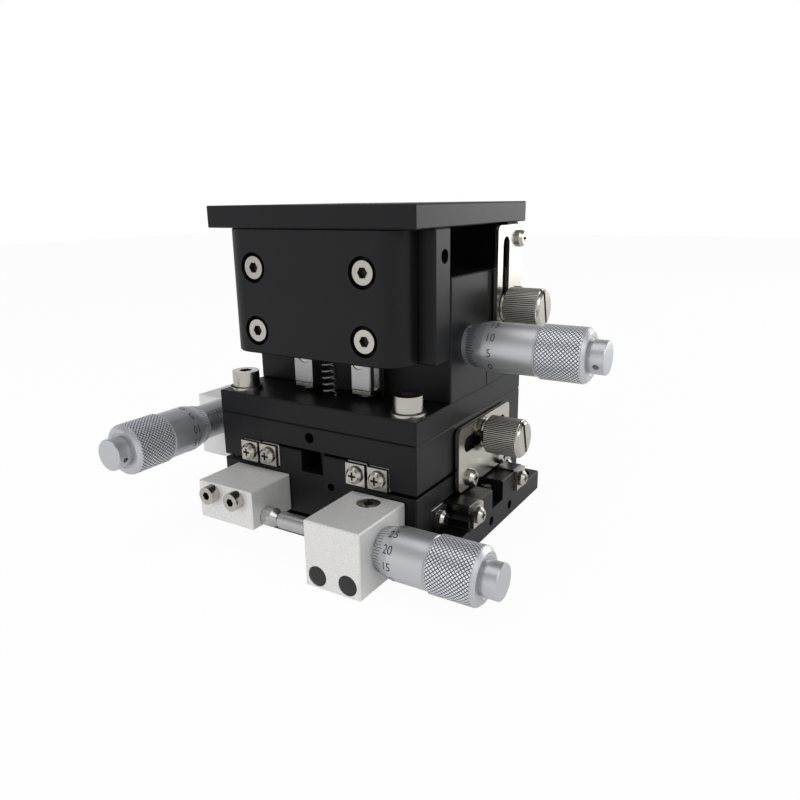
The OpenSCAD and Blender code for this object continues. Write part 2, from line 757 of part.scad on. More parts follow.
module holder(z, mic, relief_z, screw_z, sunk) {
    difference() {
        block([0, holder_l], [-holder_d, 0], z);
        box([-cut, holder_l + cut], [-relief, cut], [relief_z, z[1] + cut]);
        rod(mic, out_right, [-cut, holder_l + cut], shank_r + fit);
        box([-cut, holder_l + cut], [-mic_out, cut], [mic[2] - slit / 2, mic[2] + slit / 2]);
        screw_hole([holder_mid, -clamp_out, z[1] - sunk], out_top, [m3_head_r, m3_head_h, m25_r],
            z[1] - sunk - z[0] - 2 * slit, sunk + cut);
        for (s = [-1, 1])
            screw_hole([holder_mid + s * holder_pitch / 2, -holder_d + m25_head_h + plug_t + slit,
                screw_z], out_front, m25, holder_d, 2 * holder_d);
    }
}
module holder_screws(z, screw_z, sunk) {
    socket_screw([holder_mid, -clamp_out, z[1] - sunk], out_top, [m3_head_r, m3_head_h, m25_r],
        z[1] - sunk - z[0] - 3 * slit);
    for (s = [-1, 1]) {
        x = holder_mid + s * holder_pitch / 2;
        seat = -holder_d + m25_head_h + plug_t + slit;
        socket_screw([x, seat, screw_z], out_front, m25, -seat + tap_l);
        rod([x, -holder_d, screw_z], out_front, [fit - plug_t - slit, -slit / 4], plug_r - fit);
    }
}
module sleeve(mic, l, gap) {
    difference() {
        union() {
            rod(mic, out_right, [0, l], shank_r);
            rod(mic, out_right, [l, l + sleeve_l], sleeve_r);
        }
        rod(mic, out_right, [-cut, l + sleeve_l + cut], spindle_r + fit);
    }
}
module thimble(mic, x, grip) {
    end = grip + grip_l;
    translate([x, mic[1], mic[2]]) rotate(out_right) {
        difference() {
            union() {
                cylinder(h = bevel_l, r1 = thimble_edge_r, r2 = thimble_r);
                translate([0, 0, bevel_l]) cylinder(h = grip - bevel_l, r = thimble_r);
                translate([0, 0, grip]) cylinder(h = grip_l, r = grip_r);
            }
            translate([0, 0, -cut]) cylinder(h = cavity + cut, r = sleeve_r + fit);
            cylinder(h = end + cut, r = spindle_r + fit);
        }
        difference() {
            translate([0, 0, end]) cylinder(h = cap_l, r = cap_r);
            translate([0, 0, end - cut]) cylinder(h = cap_l / 2 + cut, r = spindle_r + fit);
            translate([0, 0, end + cap_l * 0.7]) rotate([90, 0, 0])
                cylinder(h = cap_r + cut, r = cap_l * 0.17);
        }
    }
}
module spindle(mic, x, reach, grip) {
    tip = spindle_r / 2;
    translate([x - reach, mic[1], mic[2]]) rotate(out_right) {
        cylinder(h = tip, r1 = tip, r2 = spindle_r);
        translate([0, 0, tip])
            cylinder(h = reach - tip + grip + grip_l + cap_l / 2 - fit, r = spindle_r);
    }
}
module anvil(x, z, screw_z, mic_z) {
    difference() {
        block([x - anvil_l, x], [-anvil_d, 0], [z, z + anvil_h]);
        rod([x, -mic_out, mic_z], out_right, [-pin_l - fit, cut], pin_r + fit);
        for (s = [-1, 1])
            rod([x - anvil_l * anvil_mid_share + s * anvil_pitch / 2, 0, screw_z], out_back,
                [-anvil_d - cut, cut], m25_r + fit);
    }
}
module anvil_screws(x, screw_z, l = tap_l) {
    for (s = [-1, 1])
        socket_screw([x - anvil_l * anvil_mid_share + s * anvil_pitch / 2, -anvil_d, screw_z],
            out_front, m25, anvil_d + l);
}
module anvil_pin(x, mic_z) {
    rod([x, -mic_out, mic_z], out_right, [-pin_l, 0], pin_r);
    rod([x, -mic_out, mic_z], out_right, [0, pin_head_l], pin_head_r);
}
// tapped holes in the stage side for a holder or an anvil
module side_taps(x, z, pitch, l = tap_l) {
    for (s = [-1, 1])
        rod([x + s * pitch / 2, 0, z], out_back, [-cut, l + cut], m25_r + fit);
}

// lock plate lying on local XY, the stage face at local z = 0
module lock_plate(size, slot, upright, holes) {
    difference() {
        translate([0, 0, lock_off]) {
            box([size[0] + lock_corner, size[1] - lock_corner], [size[2], size[3]], [0, lock_t]);
            box([size[0], size[1]], [size[2] + lock_corner, size[3] - lock_corner], [0, lock_t]);
            for (u = [size[0] + lock_corner, size[1] - lock_corner])
                for (v = [size[2] + lock_corner, size[3] - lock_corner])
                    translate([u, v, 0]) cylinder(h = lock_t, r = lock_corner);
        }
        hull_free_slot(slot, upright);
        for (h = holes)
            rod([h[0], h[1], 0], out_top, [-cut, lock_off + lock_t + cut], m25_r + fit);
    }
    for (h = holes)
        difference() {
            rod([h[0], h[1], 0], out_top, [0, lock_off], lock_washer_r);
            rod([h[0], h[1], 0], out_top, [-cut, lock_off + cut], m25_r + fit);
        }
}
module hull_free_slot(slot, upright) {
    r = slot_w / 2;
    ends = [slot[0] + r, slot[1] - r];
    side = [slot[2] - r, slot[2] + r];
    through = [-cut, lock_off + lock_t + cut];
    if (upright)
        box(side, ends, through);
    else
        box(ends, side, through);
    for (e = ends)
        rod(upright ? [slot[2], e, 0] : [e, slot[2], 0], out_top, through, r);
}
module lock_screws(holes) {
    for (h = holes)
        translate([h[0], h[1], lock_off + lock_t]) {
            pan_head(m25_head_r, lock_head_h);
            translate([0, 0, -lock_off - lock_t - tap_l])
                cylinder(h = lock_off + lock_t + tap_l, r = m25_r);
        }
}
module lock_taps(holes) {
    for (h = holes)
        rod([h[0], h[1], 0], out_bottom, [-cut, tap_l + cut], m25_r + fit);
}
module knob(at) {
    base = lock_off + lock_t + collar_gap;
    translate([at[0], at[1], 0]) difference() {
        union() {
            translate([0, 0, -knob_shank_l])
                cylinder(h = knob_shank_l + base, r = knob_shank_r);
            translate([0, 0, base]) cylinder(h = collar_l, r = collar_r);
            translate([0, 0, base + collar_l]) cylinder(h = knob_l, r = knob_r);
        }
        rotate(90 + knob_tilt)
            translate([-2 * knob_r, -knob_slot / 2, base + collar_l + knob_l - knob_slot])
                cube([4 * knob_r, knob_slot, 2 * knob_slot]);
    }
}
module knob_hole(at) {
    rod([at[0], at[1], 0], out_bottom, [-cut, knob_hole_l], slot_w / 2);
}
module back_face() {
    translate([0, half, 0]) rotate([90, 0, 180]) children();
}
module right_face() {
    translate([right, 0, 0]) rotate([90, 0, 90]) children();
}

// base
module base_plate() color(black) {
    difference() {
        union() {
            block([-half, half], [-half, half], [0, base_t]);
            block([-half, half], [-rail_in - rail_w, rail_in + rail_w], [base_t - cut, x_rail_z]);
            block([-half, half], [-rail_in, rail_in], [base_t - cut, x_seat_z - rail_clear]);
        }
        box([-half - cut, half + cut], [-pocket_w / 2, pocket_w / 2],
            [x_rail_z + pocket_floor / 2, x_seat_z]);
        for (x = [-corner, corner])
            for (y = [-corner, corner])
                screw_hole([x, y, base_t * 0.25], out_top, [m4_head_r, m4_head_h, m4_r * 1.1],
                    base_t, base_t);
        for (y = [end_hole_a, end_hole_b])
            rod([half, y, base_t * end_hole_share], out_right, [-tap_l, cut], m25_r);
        x_guide() inner_taps([-half, half], rail_in, rail_bolts);
        x_side() side_taps(holder_mid, x_holder_screw_z, holder_pitch);
        back_face() lock_taps(x_lock_holes);
    }
    rod([side_spring_x[1] + post_r, 0, 0], out_top, [base_t, side_spring_z + spring_r], post_r);
}
// threads under the inner rails
module inner_taps(u, v, bolts) {
    each_side() for (b = bolts)
        rod([b, v + inner_hole_in, 0], out_bottom, [-cut, m2_head_h + bore_gap + fit],
            small_r + fit);
}

module x_inner_rails() color(steel) x_guide() inner_rails([-half, half], rail_in, rail_bolts);
module x_inner_rail_screws() color(nickel) x_guide()
    inner_rail_screws([-half, half], rail_in, rail_bolts);
module x_mic_holder() color(silver) x_side()
    holder([x_holder_z, x_mic_z + x_holder_over], x_mic, cross_z - relief, x_holder_screw_z,
        deep);
module x_mic_sleeve() color(steel) x_side() sleeve(x_mic, holder_l, x_thimble_gap);
module base_screws() color(nickel) {
    x_side() holder_screws([x_holder_z, x_mic_z + x_holder_over], x_holder_screw_z, deep);
    back_face() lock_screws(x_lock_holes);
}
module x_lock_plate() color(nickel) back_face()
    lock_plate(x_lock_box, x_lock_slot, false, x_lock_holes);
module x_spring() color(steel) difference() {
    rod([0, 0, side_spring_z], out_right, side_spring_x, spring_r);
    rod([0, 0, side_spring_z], out_right, [side_spring_x[0] - cut, side_spring_x[1] + cut],
        spring_r - 2 * wire_r);
}

// X carriage
module cross_block() color(black) {
    difference() {
        union() {
            block([left, right], [-half, half], [cross_z, cross_top]);
            block([cx - rail_in - rail_w, cx + rail_in + rail_w], [-half, half],
                [cross_top - cut, y_rail_z]);
            block([cx - rail_in, cx + rail_in], [-half, half],
                [cross_top - cut, y_seat_z - rail_clear]);
        }
        box([left - cut, right + cut], [-rail_end, rail_end], [cross_z - cut, x_seat_z]);
        box([left - cut, right + cut], [-rail_out + rail_gap / 3, rail_out - rail_gap / 3],
            [cross_z - cut, x_seat_z + rail_clear]);
        box([cx - pocket_w / 2, cx + pocket_w / 2], [-half - cut, half + cut],
            [y_rail_z + pocket_floor / 2, y_seat_z]);
        carriage_taps(x_seat_z, cross_top);
        y_guide() inner_taps([-half, half], rail_in, rail_bolts);
        rod([cx + cross_hole_at, -half, cross_top - cross_hole_down], out_front, [-tap_l, cut], small_r);
        x_side() side_taps(x_anvil_x - anvil_l * anvil_mid_share, x_anvil_screw_z, anvil_pitch);
        y_side() side_taps(holder_mid, y_holder_screw_z, holder_pitch);
        right_face() lock_taps(y_lock_holes);
        back_face() knob_hole(x_lock_knob);
    }
    rod([side_spring_x[0] - post_r, 0, 0], out_top,
        [side_spring_z - spring_r, x_seat_z + rail_clear + cut], post_r);
    rod([cx, y_spring_y[0] - post_r, 0], out_top,
        [y_rail_z - cut, y_spring_z + spring_r], post_r);
}
// counterbored holes that hold the outer X rails from above
module carriage_taps(seat, top) {
    for (x = outer_bolts)
        for (s = [-1, 1])
            screw_hole([cx + x, s * (rail_end - outer_hole_in), top - deep], out_top, m2,
                top - seat, deep + cut);
}
module carriage_taps_y(seat, top) {
    for (y = outer_bolts)
        for (s = [-1, 1])
            screw_hole([cx + s * (rail_end - outer_hole_in), y, top - deep], out_top, m2,
                top - seat, deep + cut);
}
module x_outer_rails() color(steel) x_guide() translate([cx, 0, 0])
    outer_rails([-half, half], rail_out, outer_bolts, small_r);
module x_outer_rail_screws() color(nickel) {
    x_guide() translate([cx, 0, 0]) end_stops([-half, half], rail_out);
    for (x = outer_bolts)
        for (s = [-1, 1])
            socket_screw([cx + x, s * (rail_end - outer_hole_in), cross_top - deep], out_top, m2,
                cross_top - deep - x_seat_z + rail_h / 2);
}
module y_inner_rails() color(steel) y_guide() inner_rails([-half, half], rail_in, rail_bolts);
module y_inner_rail_screws() color(nickel) y_guide()
    inner_rail_screws([-half, half], rail_in, rail_bolts);
module x_anvil_block() color(silver) x_side()
    anvil(x_anvil_x, x_anvil_z, x_anvil_screw_z, x_mic_z);
module x_anvil_screws() color(nickel) x_side() anvil_screws(x_anvil_x, x_anvil_screw_z);
module x_anvil_pin() color(steel) x_side() anvil_pin(x_anvil_x, x_mic_z);
module y_mic_holder() color(silver) y_side()
    holder(y_holder_z, y_mic, y_z - relief, y_holder_screw_z, y_clamp_deep);
module y_mic_sleeve() color(steel) y_side() sleeve(y_mic, holder_l, y_thimble_gap);
module y_holder_screws() color(nickel) y_side()
    holder_screws(y_holder_z, y_holder_screw_z, y_clamp_deep);
module y_lock_plate() color(nickel) right_face()
    lock_plate(y_lock_box, y_lock_slot, false, y_lock_holes);
module y_lock_screws() color(nickel) right_face() lock_screws(y_lock_holes);
module y_spring() color(steel) difference() {
    rod([cx, 0, y_spring_z], out_back, y_spring_y, spring_r);
    rod([cx, 0, y_spring_z], out_back, [y_spring_y[0] - cut, y_spring_y[1] + cut],
        spring_r - 2 * wire_r);
}

// Y carriage
module y_carriage_block() color(black) {
    difference() {
        block([left, right], [-half, half], [y_z, y_top]);
        box([cx - rail_end, cx + rail_end], [-half - cut, half + cut], [y_z - cut, y_seat_z]);
        box([cx - rail_out + rail_gap / 3, cx + rail_out - rail_gap / 3],
            [-half - cut, half + cut], [y_z - cut, y_seat_z + rail_clear]);
        carriage_taps_y(y_seat_z, y_top);
        corner_holes([y_top - tap_l - fit, y_top + cut], m4_r + fit);
        rod([cx - front_hole_at, -half, y_top - front_hole_down], out_front, [-tap_l, cut], m25_r * 1.1);
        y_side() side_taps(y_anvil_x - anvil_l * anvil_mid_share, y_anvil_screw_z, anvil_pitch,
            y_anvil_tap_l);
        right_face() knob_hole(y_lock_knob);
    }
    rod([cx, y_spring_y[1] + post_r, 0], out_top,
        [y_spring_z - spring_r, y_seat_z + rail_clear + cut], post_r);
}
module corner_holes(z, r) {
    for (x = [cx - corner, cx + corner])
        for (y = [-corner, corner])
            rod([x, y, 0], out_top, z, r);
}
module y_outer_rails() color(steel) y_guide()
    outer_rails([-half, half], rail_out, outer_bolts, small_r);
module y_outer_rail_screws() color(nickel) {
    y_guide() end_stops([-half, half], rail_out);
    for (y = outer_bolts)
        for (s = [-1, 1])
            socket_screw([cx + s * (rail_end - outer_hole_in), y, y_top - deep], out_top, m2,
                y_top - deep - y_seat_z + rail_h / 2);
}
module lift_plate() color(black) difference() {
    block([left, right], [-half, half], [y_top, lift_z]);
    corner_holes([y_top - cut, lift_z + cut], m4_r + fit);
    for (p = column_screws_at)
        screw_hole([p[0], p[1], y_top + deep], out_bottom, m3, lift_plate_t, deep + cut);
}
module lift_plate_screws() color(nickel) {
    for (x = [cx - corner, cx + corner])
        for (y = [-corner, corner]) {
            socket_screw([x, y, lift_z + m4_washer_t + fit / 2], out_top, m4,
                m4_washer_t + lift_plate_t + tap_l - fit);
            difference() {
                rod([x, y, lift_z], out_top, [0, m4_washer_t], m4_washer_r);
                rod([x, y, lift_z], out_top, [-cut, 2 * m4_washer_t], m4_r + fit);
            }
        }
    for (p = column_screws_at)
        socket_screw([p[0], p[1], y_top + deep], out_bottom, m3,
            lift_plate_t - deep + tap_l - wedge_gap);
}
module column_taps() {
    for (p = column_screws_at)
        rod([p[0], p[1], lift_z], out_top, [-cut, tap_l], m3_r + fit);
}
module lift_column() color(black) difference() {
    union() {
        block([left, right], [column_y, rear_y], [lift_z, column_top]);
        block([cx - lift_rail_in - rail_w, cx + lift_rail_in + rail_w],
            [seat_y, column_y + cut], [lift_z, column_top]);
    }
    box(wedge_pocket_x, wedge_pocket_y, [lift_z + pocket_up, column_top + cut]);
    rod([right, lift_mic_y, lift_mic_z], out_right, [-plate_w / 2, cut], shank_r + fit);
    column_taps();
    z_guide() inner_taps(lift_in_u, lift_rail_in, lift_in_bolts);
}
module lift_rear_block() color(black) difference() {
    block([left, right], [rear_y, rear_end_y], [lift_z, column_top]);
    column_taps();
    right_face() knob_hole(z_lock_knob);
}
module z_inner_rails() color(steel) z_guide()
    inner_rails(lift_in_u, lift_rail_in, lift_in_bolts);
module z_inner_rail_screws() color(nickel) z_guide()
    inner_rail_screws(lift_in_u, lift_rail_in, lift_in_bolts);
module z_mic_sleeve() color(steel)
    sleeve_at([wedge_pocket_x[1], lift_mic_y, lift_mic_z], right - wedge_pocket_x[1]);
module sleeve_at(at, l) {
    translate([at[0], 0, 0]) sleeve([0, at[1], at[2]], l, lift_thimble_gap);
}
module y_anvil_block() color(silver) y_side()
    anvil(y_anvil_x, y_anvil_z, y_anvil_screw_z, y_mic_z);
module y_anvil_screws() color(nickel) y_side()
    anvil_screws(y_anvil_x, y_anvil_screw_z, y_anvil_tap_l);
module y_anvil_pin() color(steel) y_side() anvil_pin(y_anvil_x, y_mic_z);

// lift spring: one tube of six sides along a helix, with straight ends
steps = 8;
sides = 6;
turn_z = [lift_spring_z[0] + 2 * wire_r, lift_spring_z[1] - 2 * wire_r];
helix = [for (i = [0 : curls * steps])
    [coil_r * cos(i * 360 / steps), coil_r * sin(i * 360 / steps),
        turn_z[0] + (turn_z[1] - turn_z[0]) * i / (curls * steps)]];
path = concat([[coil_r, 0, lift_spring_z[0]]], helix, [[coil_r, 0, lift_spring_z[1]]]);
last = len(path) - 1;
function unit(v) = v / norm(v);
function along(i) = i == 0 || i == last ? [0, 0, 1]
    : i == 1 || i == last - 1 ? unit([0, 1, 1])
    : unit(path[i + 1] - path[i - 1]);
function away(p) = unit([p[0], p[1], 0]);
spring_points = [for (i = [0 : last]) let (n = away(path[i]), b = unit(cross(along(i), n)))
    for (k = [0 : sides - 1])
        path[i] + wire_r * (cos(k * 360 / sides) * n + sin(k * 360 / sides) * b)];
spring_skin = [for (i = [0 : last - 1]) for (k = [0 : sides - 1])
    let (a = i * sides + k, b = i * sides + (k + 1) % sides)
        for (f = [[a, a + sides, b], [b, a + sides, b + sides]]) f];
spring_ends = concat(
    [for (k = [1 : sides - 2]) [0, k, k + 1]],
    [for (k = [1 : sides - 2]) [last * sides, last * sides + k + 1, last * sides + k]]);
spring_gap = min([for (i = [0 : last]) for (j = [i + steps / 2 : last])
    norm(path[i] - path[j])]) - 2 * wire_r;
module z_spring() color(steel) {
    echo(spring_gap = spring_gap);
    translate([cx, lift_spring_y, 0])
        polyhedron(points = spring_points, faces = concat(spring_skin, spring_ends));
}

// sliding front, table and rear bracket
module table() color(black) difference() {
    block([left, right], [table_y, table_end_y], [table_z, table_top]);
    for (sx = [-1, 1])
        for (sy = [-1, 1]) {
            rod([cx + sx * tap_pitch / 2, table_back + sy * tap_pitch / 2, 0], out_top,
                [table_z - cut, table_top + cut], tap_r);
            rod([cx + sx * tap_in_pitch / 2, table_back + sy * tap_in_pitch / 2, 0], out_top,
                [table_z - cut, table_top + cut], tap_in_r);
        }
    for (p = table_screws_at)
        screw_hole([p[0], p[1], table_top - deep], out_top, m3, table_t, deep + cut);
}
module slide_taps() {
    for (p = table_screws_at)
        rod([p[0], p[1], table_z], out_bottom, [-cut, tap_l + wedge_gap], m3_r + fit);
}
module slide_screws() color(nickel) {
    for (p = table_screws_at)
        socket_screw([p[0], p[1], table_top - deep], out_top, m3, table_t - deep + tap_l);
    for (s = [-1, 1])
        for (z = front_bolt_z)
            socket_screw([cx + s * front_bolt_x, front_y + deep, z], out_front, m3,
                rail_front_y - front_y - deep + rail_h - wedge_gap);
    right_face() lock_screws(z_lock_holes);
}
module z_front_block() color(black) difference() {
    union() {
        block([cx - front_half, cx + front_half], [front_y + front_corner, rail_front_y],
            [slide_z, table_z]);
        block([cx - front_half + front_corner, cx + front_half - front_corner],
            [front_y, rail_front_y], [slide_z, table_z]);
        for (s = [-1, 1])
            intersection() {
                translate([cx + s * (front_half - front_corner), front_y + front_corner, 0]) {
                    rod([0, 0, 0], out_top, [slide_z + edge, table_z - edge], front_corner);
                    translate([0, 0, slide_z])
                        cylinder(h = edge, r1 = front_corner - edge, r2 = front_corner);
                    translate([0, 0, table_z - edge])
                        cylinder(h = edge, r1 = front_corner, r2 = front_corner - edge);
                }
                box([left, right], [front_y - cut, rail_front_y - edge], [slide_z, table_z]);
            }
    }
    box([cx - lift_rail_out + rail_gap / 3, cx + lift_rail_out - rail_gap / 3],
        [rail_front_y - rail_clear, rail_front_y + cut], [slide_z - cut, table_z + cut]);
    box([cx - spring_r - wing_gap, cx + spring_r + wing_gap],
        [lift_spring_y - spring_r - wing_gap, rail_front_y + cut],
        [slide_z - cut, lift_spring_z[1]]);
    for (s = [-1, 1])
        for (z = front_bolt_z)
            screw_hole([cx + s * front_bolt_x, front_y + deep, z], out_front, m3, half, half,
                m3_bore);
    slide_taps();
}
module z_side_wings() color(black) for (s = [-1, 1])
    difference() {
        translate([cx, 0, 0]) mirror([s < 0 ? 1 : 0, 0, 0])
            block([lift_rail_end, half], [rail_front_y, wing_back_y], [slide_z, table_z]);
        slide_taps();
        if (s > 0)
            rod([right, wing_back_y - wing_hole_in, table_z - wing_hole_down], out_right, [-tap_l, cut], m3_r * 1.1);
    }
module z_outer_rails() color(steel) z_guide()
    outer_rails(lift_out_u, lift_rail_out, front_bolt_z, m3_r);
module z_outer_rail_screws() color(nickel) z_guide() each_side()
    end_stop([lift_out_u[0], lift_rail_out + rail_w / 2, rail_h / 2], out_left);
module z_rear_bracket() color(black) difference() {
    block([left, right], [bracket_y, bracket_end_y], [table_z - bracket_h, table_z]);
    slide_taps();
    right_face() lock_taps(z_lock_holes);
}
module z_lock_plate() color(nickel) right_face()
    lock_plate(z_lock_box, z_lock_slot, true, z_lock_holes);
module z_lift_fork() color(steel) difference() {
    union() {
        box(fork_x, [lift_mic_y - cheek_in - cheek_t, lift_mic_y + cheek_in + cheek_t],
            [fork_bridge_z, table_z]);
        for (s = [-1, 1])
            translate([0, s > 0 ? lift_mic_y + cheek_in : lift_mic_y - cheek_in - cheek_t, 0]) {
                box(fork_x, [0, cheek_t], [lift_roller_z, fork_bridge_z + cut]);
                rod([lift_roller_x, 0, lift_roller_z], out_back, [0, cheek_t], cheek_r);
            }
        rod([lift_roller_x, lift_mic_y, lift_roller_z], out_back,
            [-cheek_in - cheek_t, cheek_in + cheek_t], lift_pin_r);
    }
    slide_taps();
}
module z_lift_roller() color(steel) difference() {
    rod([lift_roller_x, lift_mic_y, lift_roller_z], out_back,
        [-lift_roller_l / 2, lift_roller_l / 2], lift_roller_r);
    rod([lift_roller_x, lift_mic_y, lift_roller_z], out_back,
        [-lift_roller_l, lift_roller_l], lift_pin_r + fit);
}
module z_wedge() color(steel)
    translate([0, wedge_y + wedge_w, 0]) rotate([90, 0, 0]) linear_extrude(wedge_w) polygon([
        [wedge_left, wedge_z], [wedge_right, wedge_z], [wedge_right, wedge_z + wedge_h],
        [wedge_right - wedge_top, wedge_z + wedge_h]]);

// pieces that move on their own
module x_cages() color(steel) x_guide() cages(x_cage_mid, cage_l, rollers, rail_in);
module y_cages() color(steel) y_guide() cages(0, cage_l, rollers, rail_in);
module z_cages() color(steel) z_guide()
    cages(lift_cage_mid, lift_cage_l, lift_rollers, lift_rail_in);
module x_thimble() color(steel) x_side() thimble(x_mic, x_edge, grip_at);
module x_spindle() color(steel) x_side() spindle(x_mic, x_edge, spindle_reach, grip_at);
module y_thimble() color(steel) y_side() thimble(y_mic, y_edge, grip_at);
module y_spindle() color(steel) y_side() spindle(y_mic, y_edge, spindle_reach, grip_at);
lift_mic = [0, lift_mic_y, lift_mic_z];
module z_thimble() color(steel) thimble(lift_mic, lift_edge, lift_grip_at);
module z_spindle() color(steel)
    spindle(lift_mic, lift_edge, lift_edge - wedge_right, lift_grip_at);
module x_lock_knob() color(nickel) back_face() knob(x_lock_knob);
module y_lock_knob() color(nickel) right_face() knob(y_lock_knob);
module z_lock_knob() color(nickel) right_face() knob(z_lock_knob);

base_plate();
x_inner_rails();
x_inner_rail_screws();
x_mic_holder();
x_mic_sleeve();
base_screws();
x_lock_plate();
x_spring();
cross_block();
x_outer_rails();
x_outer_rail_screws();
y_inner_rails();
y_inner_rail_screws();
x_anvil_block();
x_anvil_screws();
x_anvil_pin();
y_mic_holder();
y_mic_sleeve();
y_holder_screws();
y_lock_plate();
y_lock_screws();
y_spring();
y_carriage_block();
y_outer_rails();
y_outer_rail_screws();
lift_plate();
lift_plate_screws();
lift_column();
lift_rear_block();
z_inner_rails();
z_inner_rail_screws();
z_mic_sleeve();
y_anvil_block();
y_anvil_screws();
y_anvil_pin();
z_spring();
table();
slide_screws();
z_front_block();
z_side_wings();
z_outer_rails();
z_outer_rail_screws();
z_rear_bracket();
z_lock_plate();
z_lift_fork();
z_lift_roller();
z_wedge();
x_cages();
y_cages();
z_cages();
x_thimble();
x_spindle();
y_thimble();
y_spindle();
z_thimble();
z_spindle();
x_lock_knob();
y_lock_knob();
z_lock_knob();
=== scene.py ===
import math
from types import SimpleNamespace

import bpy
from bpy.props import FloatProperty, FloatVectorProperty, IntProperty, PointerProperty
from mathutils import Matrix, Vector
from mathutils.bvhtree import BVHTree


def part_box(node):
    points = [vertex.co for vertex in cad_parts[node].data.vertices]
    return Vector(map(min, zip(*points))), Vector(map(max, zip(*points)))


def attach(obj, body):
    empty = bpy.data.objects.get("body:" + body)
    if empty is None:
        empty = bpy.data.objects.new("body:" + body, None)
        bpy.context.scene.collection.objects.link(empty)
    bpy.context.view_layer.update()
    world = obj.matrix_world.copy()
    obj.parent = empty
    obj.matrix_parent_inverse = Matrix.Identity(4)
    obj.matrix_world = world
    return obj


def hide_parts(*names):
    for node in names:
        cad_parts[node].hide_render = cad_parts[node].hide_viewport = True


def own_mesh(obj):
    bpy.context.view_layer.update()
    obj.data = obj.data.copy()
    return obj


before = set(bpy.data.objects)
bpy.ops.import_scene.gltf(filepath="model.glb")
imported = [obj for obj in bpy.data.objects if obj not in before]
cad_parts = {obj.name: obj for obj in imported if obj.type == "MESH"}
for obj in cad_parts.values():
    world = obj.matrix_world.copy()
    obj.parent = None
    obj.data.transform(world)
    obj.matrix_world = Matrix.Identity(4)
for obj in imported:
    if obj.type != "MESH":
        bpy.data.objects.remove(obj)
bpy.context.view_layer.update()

bl_info = {
    "name": "XYZ linear stage",
    "version": (1, 0, 0),
    "blender": (4, 5, 0),
    "location": "3D View > Sidebar > Linear stage",
    "description": "Dresses the three-axis stage: dials, knurled grips, springs, metals and studio",
    "category": "Object",
}

MM = 0.001
UP = Vector((0, 0, 1))
# how far a point may lie from a ring or a height and still count as on it, in metres
NEAR = 1e-6


def in_metres(**sizes):
    """Named sizes, given in millimetres and kept in metres."""
    return SimpleNamespace(**{name: value * MM for name, value in sizes.items()})


def linear(hex_code):
    """An sRGB hex colour as linear red, green and blue."""
    parts = [int(hex_code[i : i + 2], 16) / 255 for i in (1, 3, 5)]
    return [p / 12.92 if p <= 0.04045 else ((p + 0.055) / 1.055) ** 2.4 for p in parts]


def shade(colour, share):
    """A darker or lighter tone of a linear colour."""
    return [min(1, c * share) for c in colour]


# Each micrometer: the way its cap points, the bodies that it turns with and that carry
# its anvil and its sleeve, its thimble's length up to the grip and along the bevel, a
# number on the dial and the angle where it stands, the angle of the line on the sleeve,
# the millimetres that the sleeve shows, how far the numbers stand from the thimble's
# edge, and the turn of the hole in the cap. Angles are in degrees round the axis.
MICROMETERS = {
    "x": {
        "way": (1, 0, 0),
        "body": "x_micrometer",
        "anvil": "x_carriage",
        "sleeve": "base",
        "grip_at": 13.1 * MM,
        "bevel": 4.0 * MM,
        "number": 20,
        "angle": 59,
        "scale_angle": 59,
        "reading": 0.2 * MM,
        "number_at": 3.9 * MM,
        "hole": -150,
    },
    "y": {
        "way": (0, -1, 0),
        "body": "y_micrometer",
        "anvil": "y_carriage",
        "sleeve": "x_carriage",
        "grip_at": 13.1 * MM,
        "bevel": 4.0 * MM,
        "number": 5,
        "angle": -42,
        "scale_angle": -52,
        "reading": 5.5 * MM,
        "number_at": 5.6 * MM,
        "hole": 165,
    },
    "z": {
        "way": (1, 0, 0),
        "body": "z_micrometer",
        "sleeve": "y_carriage",
        "grip_at": 17.5 * MM,
        "bevel": 4.4 * MM,
        "number": 10,
        "angle": 59,
        "scale_angle": 59,
        "reading": 0.5 * MM,
        "number_at": 6.4 * MM,
        "hole": 24,
    },
}

# Each lock screw: the body that it is and the way its head points
KNOBS = {
    "x_lock_knob": {"body": "x_knob", "way": (0, 1, 0)},
    "y_lock_knob": {"body": "y_knob", "way": (1, 0, 0)},
    "z_lock_knob": {"body": "z_knob", "way": (1, 0, 0)},
}

# Each spring: its body, the way it is wound, the way from its fixed end, its turns, the
# joint that presses it and the share of its length that it keeps at the joint's limit.
SPRINGS = {
    "x_spring": {
        "body": "base", "way": (1, 0, 0), "from_fixed_end": (-1, 0, 0),
        "turns": 26, "joint": "x_travel", "keep": 0.7,
    },
    "y_spring": {
        "body": "x_carriage", "way": (0, 1, 0), "from_fixed_end": (0, 1, 0),
        "turns": 26, "joint": "y_travel", "keep": 0.85,
    },
    "z_spring": {
        "body": "y_carriage", "way": (0, 0, 1), "from_fixed_end": (0, 0, 1),
        "turns": 17, "joint": "z_travel", "keep": 0.8,
    },
}

